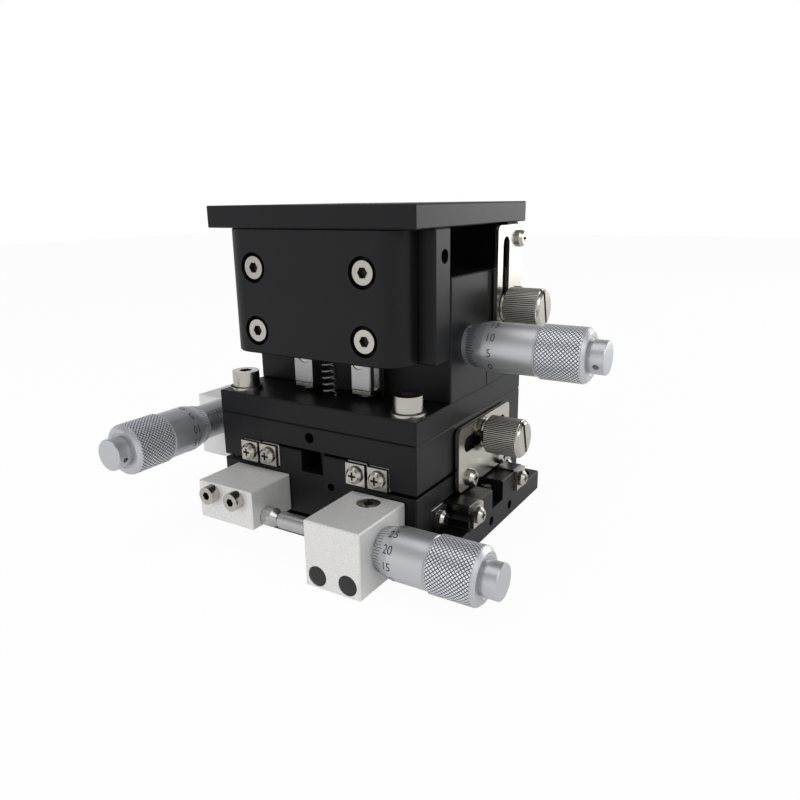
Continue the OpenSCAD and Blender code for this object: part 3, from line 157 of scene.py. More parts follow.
BLACK_PARTS = [
    "base_plate", "cross_block", "y_carriage_block", "lift_plate", "lift_column",
    "lift_rear_block", "table", "z_front_block", "z_side_wings", "z_rear_bracket",
]
BLASTED_PARTS = ["x_mic_holder", "y_mic_holder", "x_anvil_block", "y_anvil_block"]
# rails whose ground steel is darkened as painted shade
DARK_RAIL_PARTS = ["x_inner_rails"]
RAIL_PARTS = [
    "x_outer_rails", "y_inner_rails", "y_outer_rails",
    "z_inner_rails", "z_outer_rails", "z_wedge", "z_lift_fork", "z_lift_roller",
    "x_cages", "y_cages", "z_cages",
]
SPINDLE_PARTS = ["x_anvil_pin", "y_anvil_pin", "x_spindle", "y_spindle", "z_spindle"]
CHROME_PARTS = [
    "x_mic_sleeve", "y_mic_sleeve", "z_mic_sleeve", "x_thimble", "y_thimble", "z_thimble",
]
SCREW_PARTS = [
    "x_inner_rail_screws", "x_outer_rail_screws", "y_inner_rail_screws",
    "y_outer_rail_screws", "z_inner_rail_screws", "z_outer_rail_screws", "base_screws",
    "x_anvil_screws", "y_anvil_screws", "y_holder_screws", "y_lock_screws",
    "slide_screws", "lift_plate_screws",
]
PLATE_PARTS = ["x_lock_plate", "y_lock_plate", "z_lock_plate"]


class StageColours(bpy.types.PropertyGroup):
    """Colours of the stage's finishes and of the floor"""

    black: FloatVectorProperty(
        name="Black anodising", description="Colour of the plates and blocks",
        subtype="COLOR", size=3, min=0, max=1, default=linear("#0d0d0f"),
    )
    silver: FloatVectorProperty(
        name="Blasted aluminium", description="Colour of the holders and anvil blocks",
        subtype="COLOR", size=3, min=0, max=1, default=linear("#e3e2e0"),
    )
    chrome: FloatVectorProperty(
        name="Satin chrome", description="Colour of thimbles and sleeves",
        subtype="COLOR", size=3, min=0, max=1, default=linear("#c6c8cb"),
    )
    nickel: FloatVectorProperty(
        name="Nickel plating", description="Colour of screws, lock plates and lock screws",
        subtype="COLOR", size=3, min=0, max=1, default=linear("#c2bfb6"),
    )
    steel: FloatVectorProperty(
        name="Ground steel", description="Colour of rails and spindles",
        subtype="COLOR", size=3, min=0, max=1, default=linear("#b9b9b8"),
    )
    marks: FloatVectorProperty(
        name="Dial marks", description="Colour of divisions and numbers",
        subtype="COLOR", size=3, min=0, max=1, default=linear("#1d1e20"),
    )
    floor: FloatVectorProperty(
        name="Floor", description="Colour of the table top under the stage",
        subtype="COLOR", size=3, min=0, max=1, default=linear("#f4f4f4"),
    )


class StageSizes(bpy.types.PropertyGroup):
    """Sizes of the grips, marks and springs"""

    knurls: IntProperty(
        name="Knurls around", description="Diamonds around a grip", default=44, min=20, max=80,
    )
    knurl_pitch: FloatProperty(
        name="Knurl pitch", description="Length of one diamond along a grip",
        default=1.05 * MM, min=0.5 * MM, max=2 * MM, unit="LENGTH", precision=5,
    )
    knurl_depth: FloatProperty(
        name="Knurl depth", description="Depth of the grooves of a grip",
        default=0.24 * MM, min=0.05 * MM, max=0.6 * MM, unit="LENGTH", precision=5,
    )
    ribs: IntProperty(
        name="Ribs", description="Straight ribs around a lock screw", default=60, min=20, max=80,
    )
    rib_depth: FloatProperty(
        name="Rib depth", description="Depth between the ribs of a lock screw",
        default=0.24 * MM, min=0.05 * MM, max=0.5 * MM, unit="LENGTH", precision=5,
    )
    digit: FloatProperty(
        name="Digit height", description="Height of the numbers on a dial",
        default=2.1 * MM, min=1 * MM, max=3 * MM, unit="LENGTH", precision=5,
    )
    line: FloatProperty(
        name="Line width", description="Width of a division line",
        default=0.13 * MM, min=0.05 * MM, max=0.3 * MM, unit="LENGTH", precision=5,
    )
    wire: FloatProperty(
        name="Spring wire", description="Radius of the spring wire",
        default=0.3 * MM, min=0.1 * MM, max=0.4 * MM, unit="LENGTH", precision=5,
    )


def add(tree, kind, settings=None, inputs=None):
    """Adds one shader node with its settings, values and links."""
    made = tree.nodes.new(kind)
    for name, value in (settings or {}).items():
        setattr(made, name, value)
    for name, value in (inputs or {}).items():
        if isinstance(value, bpy.types.NodeSocket):
            tree.links.new(value, made.inputs[name])
        else:
            made.inputs[name].default_value = value
    return made


def surface(name, shader):
    """A new material with its Principled shader; returns the material, tree and shader."""
    made = bpy.data.materials.new(name)
    made.use_nodes = True
    tree = made.node_tree
    tree.nodes.clear()
    body = add(tree, "ShaderNodeBsdfPrincipled", inputs=shader)
    out = add(tree, "ShaderNodeOutputMaterial")
    tree.links.new(body.outputs[0], out.inputs["Surface"])
    return made, tree, body


def grain(tree, size, detail=3, stretch=(1, 1, 1)):
    """Noise on Object coordinates whose grains are this long in metres, as a socket."""
    place = add(tree, "ShaderNodeTexCoord")
    turn = add(
        tree, "ShaderNodeMapping",
        inputs={"Vector": place.outputs["Object"], "Scale": stretch},
    )
    noise = add(
        tree, "ShaderNodeTexNoise",
        inputs={"Vector": turn.outputs[0], "Scale": 1 / size, "Detail": detail, "Roughness": 0.6},
    )
    return noise.outputs[0]


def grained(name, shader, tones, rough, fine, broad=None, dents=None):
    """A material with grain. Its roughness wanders between two limits with the fine
    grain, and its colour between two tones with the broad grain, or with the fine one
    where there is no other. Dents are the depth in metres and the strength of its bump."""
    made, tree, body = surface(name, shader)
    small = grain(tree, **fine)
    large = grain(tree, **broad) if broad else small
    colours = add(
        tree, "ShaderNodeMix", {"data_type": "RGBA"},
        {"Factor": large, "A": (*tones[0], 1), "B": (*tones[1], 1)},
    )
    gloss = add(
        tree, "ShaderNodeMapRange",
        inputs={"Value": small, "To Min": rough[0], "To Max": rough[1]},
    )
    tree.links.new(colours.outputs["Result"], body.inputs["Base Color"])
    tree.links.new(gloss.outputs["Result"], body.inputs["Roughness"])
    if dents:
        bump = add(
            tree, "ShaderNodeBump",
            inputs={"Height": small, "Distance": dents[0], "Strength": dents[1]},
        )
        tree.links.new(bump.outputs[0], body.inputs["Normal"])
    return made


def anodised(colour):
    # Black anodised aluminium, milled and finely blasted: a dry, even black that
    # greys only where it faces a lamp, with a grain of about a fifth of a millimetre.
    return grained(
        "Black anodised aluminium",
        {"Metallic": 0.0, "IOR": 1.5, "Specular IOR Level": 0.25},
        tones=(shade(colour, 0.85), shade(colour, 1.25)),
        rough=(0.36, 0.5),
        fine={"size": 0.22 * MM},
        broad={"size": 14 * MM, "detail": 2},
        dents=(0.006 * MM, 1.0),
    )


def blasted(colour):
    # Aluminium blasted with beads and clear anodised: pale, with a sparkle of
    # small dimples about a third of a millimetre across.
    return grained(
        "Bead blasted aluminium",
        {"Metallic": 0.45},
        tones=(shade(colour, 0.68), shade(colour, 1.25)),
        rough=(0.4, 0.6),
        fine={"size": 0.34 * MM, "detail": 4},
        dents=(0.045 * MM, 0.9),
    )


def satin(colour, name="Satin chrome plated steel", rough=(0.34, 0.44)):
    # Satin plating on turned steel: soft bands of light, with turning lines so
    # shallow that they only widen the highlight.
    return grained(
        name,
        {"Metallic": 0.82},
        tones=(shade(colour, 0.94), colour),
        rough=rough,
        fine={"size": 0.5 * MM},
        broad={"size": 9 * MM, "detail": 2},
        dents=(0.002 * MM, 1.0),
    )


def burnished(name, tone):
    # Painted highlight: the flat tops of diamonds and ribs are coloured pale, to stand in for the
    # light that they catch.
    pale = linear(tone)
    return grained(
        name,
        {"Metallic": 0.5},
        tones=(shade(pale, 0.85), pale),
        rough=(0.3, 0.42),
        fine={"size": 1.2 * MM},
    )


def oiled_metal(name, tone):
    # Painted shade: plating down in a knurl, a socket or between ribs is coloured darker, for the
    # shade that falls there; it draws their outlines.
    dark = linear(tone)
    return grained(
        name,
        {"Metallic": 0.6},
        tones=(shade(dark, 0.7), shade(dark, 1.3)),
        rough=(0.5, 0.7),
        fine={"size": 0.8 * MM},
    )


def nickel(colour):
    # Bright nickel plate on steel: mirror like with a warm tint and small stains.
    return grained(
        "Nickel plated steel",
        {"Metallic": 1.0},
        tones=(shade(colour, 0.86), colour),
        rough=(0.14, 0.3),
        fine={"size": 1.6 * MM, "detail": 4},
    )


def rolled(colour):
    # Nickel plated sheet: rolling marks run along the sheet.
    return grained(
        "Nickel plated sheet",
        {"Metallic": 1.0},
        tones=(shade(colour, 0.92), colour),
        rough=(0.2, 0.28),
        fine={"size": 5 * MM, "detail": 2, "stretch": (1, 1, 4)},
    )


def ground(colour, name="Ground steel"):
    # Hardened steel, surface ground: long fine scratches along the part.
    return grained(
        name,
        {"Metallic": 1.0},
        tones=(shade(colour, 0.7), colour),
        rough=(0.22, 0.4),
        fine={"size": 0.6 * MM, "stretch": (0.15, 1, 1)},
    )


def paint(colour):
    # Black paint rubbed into engraved lines: dull and slightly uneven.
    return grained(
        "Black line filling",
        {"IOR": 1.5},
        tones=(colour, shade(colour, 1.8)),
        rough=(0.5, 0.7),
        fine={"size": 0.3 * MM, "detail": 2},
    )


def plug_plastic():
    # Moulded black polyamide: satin, with a faint moulded texture.
    dark = linear("#101011")
    return grained(
        "Moulded polyamide",
        {"IOR": 1.53},
        tones=(dark, shade(dark, 1.3)),
        rough=(0.4, 0.55),
        fine={"size": 0.3 * MM, "detail": 2},
    )


# How sockets are found: from just above each face, one look goes straight out and the
# others lean out all round, each so far. A face is in a socket when enough of them end on
# its own solid.
LEANING_LOOKS = 6
LEAN = 0.5
LOOK = in_metres(start=0.02, reach=3)
BLOCKED_LOOKS = 3


def recessed_faces(mesh):
    """Faces down in a socket, cross or slot."""
    tree = BVHTree.FromPolygons(
        [v.co for v in mesh.vertices], [p.vertices[:] for p in mesh.polygons]
    )
    found = []
    for p in mesh.polygons:
        side = p.normal.orthogonal().normalized()
        turns = [2 * math.pi * k / LEANING_LOOKS for k in range(LEANING_LOOKS)]
        ways = [p.normal] + [
            (p.normal * LEAN + Matrix.Rotation(turn, 3, p.normal) @ side).normalized()
            for turn in turns
        ]
        at = p.center + p.normal * LOOK.start
        hits = [tree.ray_cast(at, way, LOOK.reach)[0] for way in ways]
        if sum(hit is not None for hit in hits) >= BLOCKED_LOOKS:
            found.append(p.index)
    return found


def nothing_selected():
    """Leaves edit mode and deselects everything."""
    if bpy.context.object and bpy.context.object.mode != "OBJECT":
        bpy.ops.object.mode_set(mode="OBJECT")
    bpy.ops.object.select_all(action="DESELECT")


def only(obj):
    """Selects this object alone and makes it active."""
    nothing_selected()
    obj.select_set(True)
    bpy.context.view_layer.objects.active = obj


def fixed(obj, matrix):
    """Puts an object in place and leaves its origin where the stage's is."""
    obj.matrix_world = matrix
    only(obj)
    bpy.ops.object.transform_apply(location=True, rotation=True, scale=True)


def pick(obj, vertex=None, face=None):
    """Selects vertices or faces by their place; the object ends in edit mode."""
    only(obj)
    bpy.ops.object.mode_set(mode="EDIT")
    bpy.ops.mesh.select_mode(type="VERT" if vertex else "FACE")
    bpy.ops.mesh.select_all(action="DESELECT")
    bpy.ops.object.mode_set(mode="OBJECT")
    if vertex:
        for v in obj.data.vertices:
            v.select = vertex(v.co)
    if face:
        for p in obj.data.polygons:
            p.select = face(p)
    bpy.ops.object.mode_set(mode="EDIT")


def between(low, high, near, far):
    """A test for faces: their middle lies between two heights and two radii."""
    def inside(face):
        at = face.center
        return low < at.z < high and near < math.hypot(at.x, at.y) < far
    return inside


def on_ring(co, ring):
    """Whether a point lies on a ring, given by its height and radius."""
    height, radius = ring
    return abs(co.z - height) < NEAR and abs(math.hypot(co.x, co.y) - radius) < 2 * NEAR


def turned(name, profile, count, loop=False):
    """A turned piece along +Z: a ring is extruded and scaled from each point of the
    profile (height, radius) to the next. A loop joins its last ring to its first."""
    nothing_selected()
    height, radius = profile[0]
    bpy.ops.mesh.primitive_circle_add(
        vertices=count, radius=radius, fill_type="NOTHING", location=(0, 0, height)
    )
    obj = bpy.context.object
    obj.name = name
    bpy.ops.object.transform_apply(location=True)
    bpy.ops.object.mode_set(mode="EDIT")
    bpy.ops.mesh.select_mode(type="EDGE")
    bpy.ops.mesh.select_all(action="SELECT")
    if not loop:
        bpy.ops.mesh.edge_face_add()
        bpy.ops.mesh.select_all(action="SELECT")
    for z, r in profile[1:]:
        bpy.ops.mesh.extrude_edges_move(TRANSFORM_OT_translate={"value": (0, 0, z - height)})
        bpy.ops.transform.resize(
            value=(r / radius, r / radius, 1), center_override=(0, 0, z)
        )
        height, radius = z, r
    if loop:
        bpy.ops.object.mode_set(mode="OBJECT")
        for e in obj.data.edges:
            a, b = (obj.data.vertices[i].co for i in e.vertices)
            e.select = any(
                on_ring(a, ring) and on_ring(b, ring) for ring in (profile[0], profile[-1])
            )
        bpy.ops.object.mode_set(mode="EDIT")
        bpy.ops.mesh.bridge_edge_loops()
    else:
        bpy.ops.mesh.edge_face_add()
    bpy.ops.mesh.select_all(action="SELECT")
    bpy.ops.mesh.normals_make_consistent(inside=False)
    bpy.ops.object.mode_set(mode="OBJECT")
    return obj


def joined(objs, name):
    """Several objects as one piece."""
    if len(objs) == 1:
        return objs[0]
    nothing_selected()
    for o in objs:
        o.select_set(True)
    bpy.context.view_layer.objects.active = objs[0]
    bpy.ops.object.join()
    made = bpy.context.object
    made.name = name
    return made


def smooth(obj, degrees):
    """Shades an object smooth, apart from edges sharper than this."""
    only(obj)
    bpy.ops.object.shade_smooth_by_angle(angle=math.radians(degrees))


def cut_by(obj, tool):
    """Takes the tool's space out of the object and deletes the tool."""
    only(obj)
    take = obj.modifiers.new("cut", "BOOLEAN")
    take.operation = "DIFFERENCE"
    take.solver = "EXACT"
    take.object = tool
    bpy.ops.object.modifier_apply(modifier=take.name)
    bpy.data.objects.remove(tool, do_unlink=True)


def foot(name, way):
    """Middle of the end of a node's box that a piece pointing this way starts from."""
    low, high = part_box(name)
    return [(a + b) / 2 if w == 0 else (a if w > 0 else b) for a, b, w in zip(low, high, way)]


def length_along(name, way):
    """How long a node's box is along an axis."""
    low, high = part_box(name)
    return sum((b - a) * abs(w) for a, b, w in zip(low, high, way))


def axes(rows, at):
    """Matrix whose X, Y and Z axes are these rows, at this place."""
    x, y, z = (Vector(row) for row in rows)
    return Matrix.Translation(Vector(at)) @ Matrix((x, y, z)).transposed().to_4x4()


def facing(way, at):
    """Matrix from a piece made along +Z to one that starts here, points this way and has
    its X axis up. One that points up isn't turned."""
    way = Vector(way)
    if way == UP:
        return Matrix.Translation(Vector(at))
    return axes((UP, way.cross(UP), way), at)


def on_micrometer(obj, key):
    """Puts a piece made along +Z from the thimble's edge in its place."""
    way = MICROMETERS[key]["way"]
    fixed(obj, facing(way, foot(key + "_thimble", way)))


def finish_piece(obj, material, body):
    """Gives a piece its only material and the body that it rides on."""
    obj.data.materials.clear()
    obj.data.materials.append(material)
    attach(obj, body)


def paint_faces(obj, material, wanted):
    """Gives the faces that are wanted one more material."""
    obj.data.materials.append(material)
    obj.active_material_index = len(obj.data.materials) - 1
    pick(obj, face=wanted)
    bpy.ops.object.material_slot_assign()
    bpy.ops.object.mode_set(mode="OBJECT")


def sink(obj, vertex, share):
    """Draws the vertices that are wanted towards the axis, to this share of their radius."""
    pick(obj, vertex=vertex)
    bpy.ops.transform.resize(value=(share, share, 1), center_override=(0, 0, 0))
    bpy.ops.object.mode_set(mode="OBJECT")


# A thimble: its radii, its lengths along the axis, then the breaks and steps at its
# mouth, its bevel, the groove before its grip, the two ends of the knurl and the cap's seat.
THIMBLE = in_metres(
    grip=6.5, plain=6.1, edge=5.05, bore=4.84, shaft=2.14,
    bore_depth=21, cap_length=3.8, lead=0.45, shoulder=1.15,
    mouth_break=0.12, mouth_flare=0.08, rim_break=0.08, rim_drop=0.05,
    blend_before=0.1, blend_after=0.25, blend_drop=0.04,
    groove_from=0.35, groove_full=0.2, groove_depth=0.16,
    first_step=0.1, first_drop=0.08, last_step=0.28, brow_step=0.34, brow_drop=0.12,
    round_before=0.18, round_drop=0.75, face_drop=1.0,
    seat=4.5, seat_floor=4.35, seat_depth=0.15,
)
# six steps to a diamond, each way: four for its flat top and one for each slope
DIAMOND_STEPS = 6
# faces within this share of the depth from the top of a knurl or a rib get the painted highlight
KNURL_LAND = 0.2
RIB_LAND = 0.3

# The cap at the end of a thimble, and the hole across it
CAP = in_metres(
    neck=3.6, low_rim=3.95, rim=3.98, brow=3.86, face=3.6, middle=1.2,
    neck_length=0.5, flare_end=0.62, crown=0.25, brow_at=0.06,
    hole=0.7, hole_depth=3, hole_centre=4, hole_at=1.8,
)
CAP_SIDES = 64
HOLE_SIDES = 24


def thimble_body(key, m, sizes, length, material, painted_shade, bright):
    """Hollow thimble with a bevelled edge and a diamond knurled grip."""
    t = THIMBLE
    grip, bevel = m["grip_at"], m["bevel"]
    end = length - t.cap_length
    root = t.grip - sizes.knurl_depth
    start = grip + t.lead
    stop = end - t.shoulder
    rows = DIAMOND_STEPS * round((stop - start) / sizes.knurl_pitch)
    step = (stop - start) / rows
    profile = [
        (t.bore_depth, t.shaft), (t.bore_depth, t.bore),
        (t.mouth_break, t.bore), (0, t.bore + t.mouth_flare),
        (0, t.edge - t.rim_drop), (t.rim_break, t.edge),
        (bevel - t.blend_before, t.plain - t.blend_drop), (bevel + t.blend_after, t.plain),
        (grip - t.groove_from, t.plain), (grip - t.groove_full, t.plain - t.groove_depth),
        (grip, t.plain - t.groove_depth), (grip + t.first_step, root - t.first_drop),
    ]
    profile += [(start + row * step, t.grip) for row in range(rows + 1)]
    profile += [
        (stop + t.last_step, root), (stop + t.brow_step, t.grip - t.brow_drop),
        (end - t.round_before, t.grip - t.round_drop), (end, t.grip - t.face_drop),
        (end, t.seat), (end - t.seat_depth, t.seat_floor), (end - t.seat_depth, t.shaft),
    ]
    columns = DIAMOND_STEPS * sizes.knurls
    body = turned(key + "_dial_thimble", profile, columns, loop=True)
    turn = 2 * math.pi / columns
    low, high = start - NEAR, stop + NEAR

    def groove(co):
        row = (co.z - start) / step
        if not low < co.z < high or math.hypot(co.x, co.y) < root:
            return False
        row, column = round(row), round(math.atan2(co.y, co.x) / turn)
        return (row + column) % DIAMOND_STEPS == 0 or (row - column) % DIAMOND_STEPS == 0

    sink(body, groove, root / t.grip)
    pick(body, face=between(low, high, t.edge, math.inf))
    bpy.ops.mesh.quads_convert_to_tris(quad_method="SHORTEST_DIAGONAL")
    bpy.ops.object.mode_set(mode="OBJECT")
    body.data.materials.append(material)
    # painted shade in the knurl's grooves and painted highlight on the diamonds' flat tops
    lands = t.grip - KNURL_LAND * sizes.knurl_depth
    paint_faces(body, painted_shade, between(low, high, t.plain, lands))
    paint_faces(body, bright, between(low, high, lands, math.inf))
    return body


def thimble_cap(key, m, length, material):
    """End cap on a neck, with a small hole in its side."""
    c = CAP
    end = length - THIMBLE.cap_length
    profile = [
        (end - THIMBLE.seat_depth, c.neck), (end + c.neck_length, c.neck),
        (end + c.flare_end, c.low_rim), (length - c.crown, c.rim),
        (length - c.brow_at, c.brow), (length, c.face), (length, c.middle),
    ]
    cap = turned(key + "_cap", profile, CAP_SIDES)
    nothing_selected()
    bpy.ops.mesh.primitive_cylinder_add(
        vertices=HOLE_SIDES, radius=c.hole, depth=c.hole_depth,
        location=(0, c.hole_centre, length - c.hole_at), rotation=(math.pi / 2, 0, 0),
    )
    cut_by(cap, bpy.context.object)
    cap.data.materials.append(material)
    fixed(cap, Matrix.Rotation(math.radians(m["hole"]), 4, "Z"))
    return cap


def thimble(key, m, sizes, material, painted_shade, bright):
    """Thimble and its cap as one piece."""
    length = length_along(key + "_thimble", m["way"])
    body = thimble_body(key, m, sizes, length, material, painted_shade, bright)
    cap = thimble_cap(key, m, length, material)
    made = joined([body, cap], key + "_dial_thimble")
    on_micrometer(made, key)
    smooth(made, degrees=24)
    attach(made, m["body"])
    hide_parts(key + "_thimble")


# Anvil pin and spindle: how far outside the pin's solid they meet, then the radii and
# lengths of the pin's stem, button and tip, and of the spindle's nose, taper and rod.
CONTACT = in_metres(
    meet=2.4, stem=1.4, button=2.4, button_from=1.5, cone=1.3, tip=1.1,
    nose=0.9, taper=1.0, rod=2.1,
)
CONTACT_SIDES = 48


def reach_along(name, key):
    """Where a node starts and ends, measured from the thimble's edge towards the cap."""
    way = Vector(MICROMETERS[key]["way"])
    edge = Vector(foot(key + "_thimble", way))
    return sorted((Vector(corner) - edge).dot(way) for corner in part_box(name))


def contact(key, m, material):
    """Anvil pin and spindle: both are turned down to a cone where they touch."""
    c = CONTACT
    low, face = reach_along(key + "_anvil_pin", key)
    end = reach_along(key + "_spindle", key)[1]
    meet = face + c.meet
    step = face - c.button_from
    pin = turned(
        key + "_anvil_tip",
        [(low, c.stem), (step, c.stem), (step, c.button), (meet - c.cone, c.button), (meet, c.tip)],
        CONTACT_SIDES,
    )
    rod = turned(
        key + "_spindle_rod",
        [(meet, c.nose), (meet + c.taper, c.rod), (end, c.rod)],
        CONTACT_SIDES,
    )
    for piece, body, node in (
        (pin, m["anvil"], "_anvil_pin"), (rod, m["body"], "_spindle"),
    ):
        on_micrometer(piece, key)
        smooth(piece, degrees=30)
        finish_piece(piece, material, body)
        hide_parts(key + node)


# An engraved line: its thickness, and what its chamfers leave of its width and length
LINE_HEIGHT = 0.03 * MM
LINE_TOP = (0.8, 0.97)

# A number: the font's size for each unit of digit height, how much narrower its digits
# are than the font's, its thickness to each side, how far it stands out of the dial, and
# how near two of its points are merged
NUMBER_FONT = 1.38
NUMBER_WIDTH = 0.86
NUMBER = in_metres(extrude=0.012, lift=0.008, merge=0.002)

# A dial: its divisions, how many there are from one numbered, longer one to the next,
# where the lines start, and how much of the bevel a long line and a short one take
DIVISIONS = 50
NUMBERED = 5
LINES_FROM = 0.12 * MM
LONG_LINE = 0.58
SHORT_LINE = 0.42

# A sleeve: its radius, the length of its line and of a tick, how far the ticks' middles
# stand beside the line, the step from one tick to the next and the height of its digits.
# Its lines are thinner than the dial's by this share, and its numbers stand beside the
# line by this angle.
SLEEVE = in_metres(radius=4.75, line=13, tick=1.1, side=0.65, step=1, digit=1.5)
SLEEVE_LINE = 0.8
SLEEVE_TICKS = 14
SLEEVE_NUMBERS = (0, 5, 10)
SLEEVE_NUMBER_TURN = -24


def surface_radius(m, z):
    """Outer radius of a thimble at this distance from its edge."""
    share = min(max(z / m["bevel"], 0), 1)
    return THIMBLE.edge + (THIMBLE.plain - THIMBLE.edge) * share


def line_mesh(name, length, width):
    """One engraved line with chamfered top edges, along +Z from the origin."""
    nothing_selected()
    bpy.ops.mesh.primitive_cube_add(
        size=1, location=(0, 0, length / 2), scale=(LINE_HEIGHT, width, length)
    )
    line = bpy.context.object
    line.name = name
    bpy.ops.object.transform_apply(location=True, rotation=True, scale=True)
    pick(line, face=lambda p: p.normal.x > 0.9)
    bpy.ops.transform.resize(value=(1, *LINE_TOP), center_override=(0, 0, length / 2))
    bpy.ops.object.mode_set(mode="OBJECT")
    return line


def copies(source, matrices, name):
    """Copies of one mesh, each its own, joined as one piece."""
    made = []
    for m in matrices:
        o = source.copy()
        o.data = source.data.copy()
        bpy.context.collection.objects.link(o)
        o.data.transform(m)
        made.append(o)
    bpy.data.objects.remove(source, do_unlink=True)
    return joined(made, name)


def number(text, height, radius_at, z, angle):
    """A number wrapped round a dial: read outwards along the axis, upright
    towards smaller angles."""
    nothing_selected()
    bpy.ops.object.text_add(location=(0, 0, 0))
    obj = bpy.context.object
    obj.data.body = text
    obj.data.size = height * NUMBER_FONT
    obj.data.align_x = "CENTER"
    obj.data.align_y = "CENTER"
    obj.data.resolution_u = 3
    obj.data.extrude = NUMBER.extrude
    bpy.ops.object.convert(target="MESH")
    only(obj)
    bpy.ops.object.mode_set(mode="EDIT")
    bpy.ops.mesh.select_all(action="SELECT")
    bpy.ops.mesh.remove_doubles(threshold=NUMBER.merge)
    bpy.ops.mesh.subdivide(number_cuts=1)
    bpy.ops.object.mode_set(mode="OBJECT")
    for v in obj.data.vertices:
        along = z + v.co.x * NUMBER_WIDTH
        radius = radius_at(along) + v.co.z + NUMBER.lift
        turn = math.radians(angle) - v.co.y / radius_at(along)
        v.co = (radius * math.cos(turn), radius * math.sin(turn), along)
    return obj


def dial(key, m, sizes, material):
    """Divisions on the bevel of a thimble and a number at every fifth."""
    slope = math.atan2(THIMBLE.plain - THIMBLE.edge, m["bevel"])
    start = Matrix.Translation((surface_radius(m, LINES_FROM), 0, LINES_FROM))
    angles = [m["angle"] - (k - m["number"]) * 360 / DIVISIONS for k in range(DIVISIONS)]
    long_angles = angles[::NUMBERED]
    short_angles = [a for k, a in enumerate(angles) if k % NUMBERED]
    parts = []
    for some, share in ((long_angles, LONG_LINE), (short_angles, SHORT_LINE)):
        places = [
            Matrix.Rotation(math.radians(a), 4, "Z") @ start @ Matrix.Rotation(slope, 4, "Y")
            for a in some
        ]
        line = line_mesh("line", share * m["bevel"], sizes.line)
        parts.append(copies(line, places, "lines"))
    for k, angle in enumerate(long_angles):
        text = str(k * NUMBERED)
        parts.append(
            number(text, sizes.digit, lambda z: surface_radius(m, z), m["number_at"], angle)
        )
    made = joined(parts, key + "_dial_marks")
    on_micrometer(made, key)
    finish_piece(made, material, m["body"])


def main_scale(key, m, sizes, material):
    """Sleeve scale: a datum line, half millimetres on both sides and numbers."""
    s = SLEEVE
    zero = -m["reading"]
    width = sizes.line * SLEEVE_LINE
    turn = Matrix.Rotation(math.radians(m["scale_angle"]), 4, "Z")
    out = Matrix.Translation((s.radius, 0, 0))
    datum_place = turn @ out @ Matrix.Translation((0, 0, zero))
    parts = [copies(line_mesh("datum", s.line, width), [datum_place], "datum")]
    across = Matrix.Rotation(-math.pi / 2, 4, "X") @ Matrix.Translation((0, 0, -s.tick / 2))
    for side, shift, count in ((-1, 0, SLEEVE_TICKS), (1, 0.5, SLEEVE_TICKS - 1)):
        beside = turn @ Matrix.Rotation(side * s.side / s.radius, 4, "Z") @ out
        places = [
            beside @ Matrix.Translation((0, 0, zero + (k + shift) * s.step)) @ across
            for k in range(count)
        ]
        parts.append(copies(line_mesh("half", s.tick, width), places, "ticks"))
    for k in SLEEVE_NUMBERS:
        angle = m["scale_angle"] + SLEEVE_NUMBER_TURN
        parts.append(number(str(k), s.digit, lambda z: s.radius, zero + k * s.step, angle))
    made = joined(parts, key + "_sleeve_marks")
    on_micrometer(made, key)
    finish_piece(made, material, m["sleeve"])


# A lock screw: the radii of its tip, shank, collar and head, its lengths along the axis,
# the breaks at its corners, and the slot across its face, turned by this angle.
KNOB = in_metres(
    tip=1.6, shank=1.96, collar=3.9, collar_face=3.75, neck=4.0, head=5.0, underside=4.4,
    crown=4.45, face=4.1, middle=1.5,
    tip_length=0.4, head_length=10.0, collar_length=1.0, collar_break=0.15, neck_length=0.2,
    lead=0.35, rib_from=0.5, rib_until=0.9, rib_end=0.75, crown_length=0.25, groove=0.05,
    slot_length=24, slot_width=1.2, slot_depth=1.2,
)
# four steps to a rib: two for its flat land and one for each slope
RIB_STEPS = 4
SLOT_TURN = 16


def knob(name, k, sizes, material, painted_shade, bright):
    """Thumb screw: shank, collar, straight ribbed head and a tilted screwdriver slot."""
    b = KNOB
    length = length_along(name, k["way"])
    head = length - b.head_length
    collar = head - b.collar_length
    root = b.head - sizes.rib_depth
    low, high = head + b.rib_from, length - b.rib_until
    profile = [
        (0, b.tip), (b.tip_length, b.shank), (collar, b.shank), (collar, b.collar_face),
        (collar + b.collar_break, b.collar), (head - b.neck_length, b.collar), (head, b.neck),
        (head, b.underside), (head + b.lead, root - b.groove), (low, b.head),
        (high, b.head), (length - b.rib_end, root - b.groove),
        (length - b.crown_length, b.crown), (length, b.face), (length, b.middle),
    ]
    columns = RIB_STEPS * sizes.ribs
    made = turned(name + "_ribbed", profile, columns)
    turn = 2 * math.pi / columns

    def valley(co):
        ribbed = low - NEAR < co.z < high + NEAR and math.hypot(co.x, co.y) > root
        return ribbed and round(math.atan2(co.y, co.x) / turn) % RIB_STEPS == 0

    sink(made, valley, root / b.head)
    made.data.materials.append(material)
    # painted shade between the ribs and painted highlight on their lands
    lands = b.head - RIB_LAND * sizes.rib_depth
    paint_faces(made, painted_shade, between(low, high, root, lands))
    paint_faces(made, bright, between(low, high, lands, b.head))
    nothing_selected()
    bpy.ops.mesh.primitive_cube_add(
        size=1, location=(0, 0, length),
        scale=(b.slot_length, b.slot_width, 2 * b.slot_depth),
    )
    tool = bpy.context.object
    bpy.ops.object.transform_apply(location=True, rotation=True, scale=True)
    cut_by(made, tool)
    turned_slot = Matrix.Rotation(math.radians(SLOT_TURN), 4, "Z")
    fixed(made, facing(k["way"], foot(name, k["way"])) @ turned_slot)
    smooth(made, degrees=28)
    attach(made, k["body"])
    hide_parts(name)


# A spring: its radius to the middle of the wire and the room left at each end
SPRING = in_metres(radius=1.6, end_room=0.6)
WIRE_SIDES = 8
WIRE_STEPS = 24


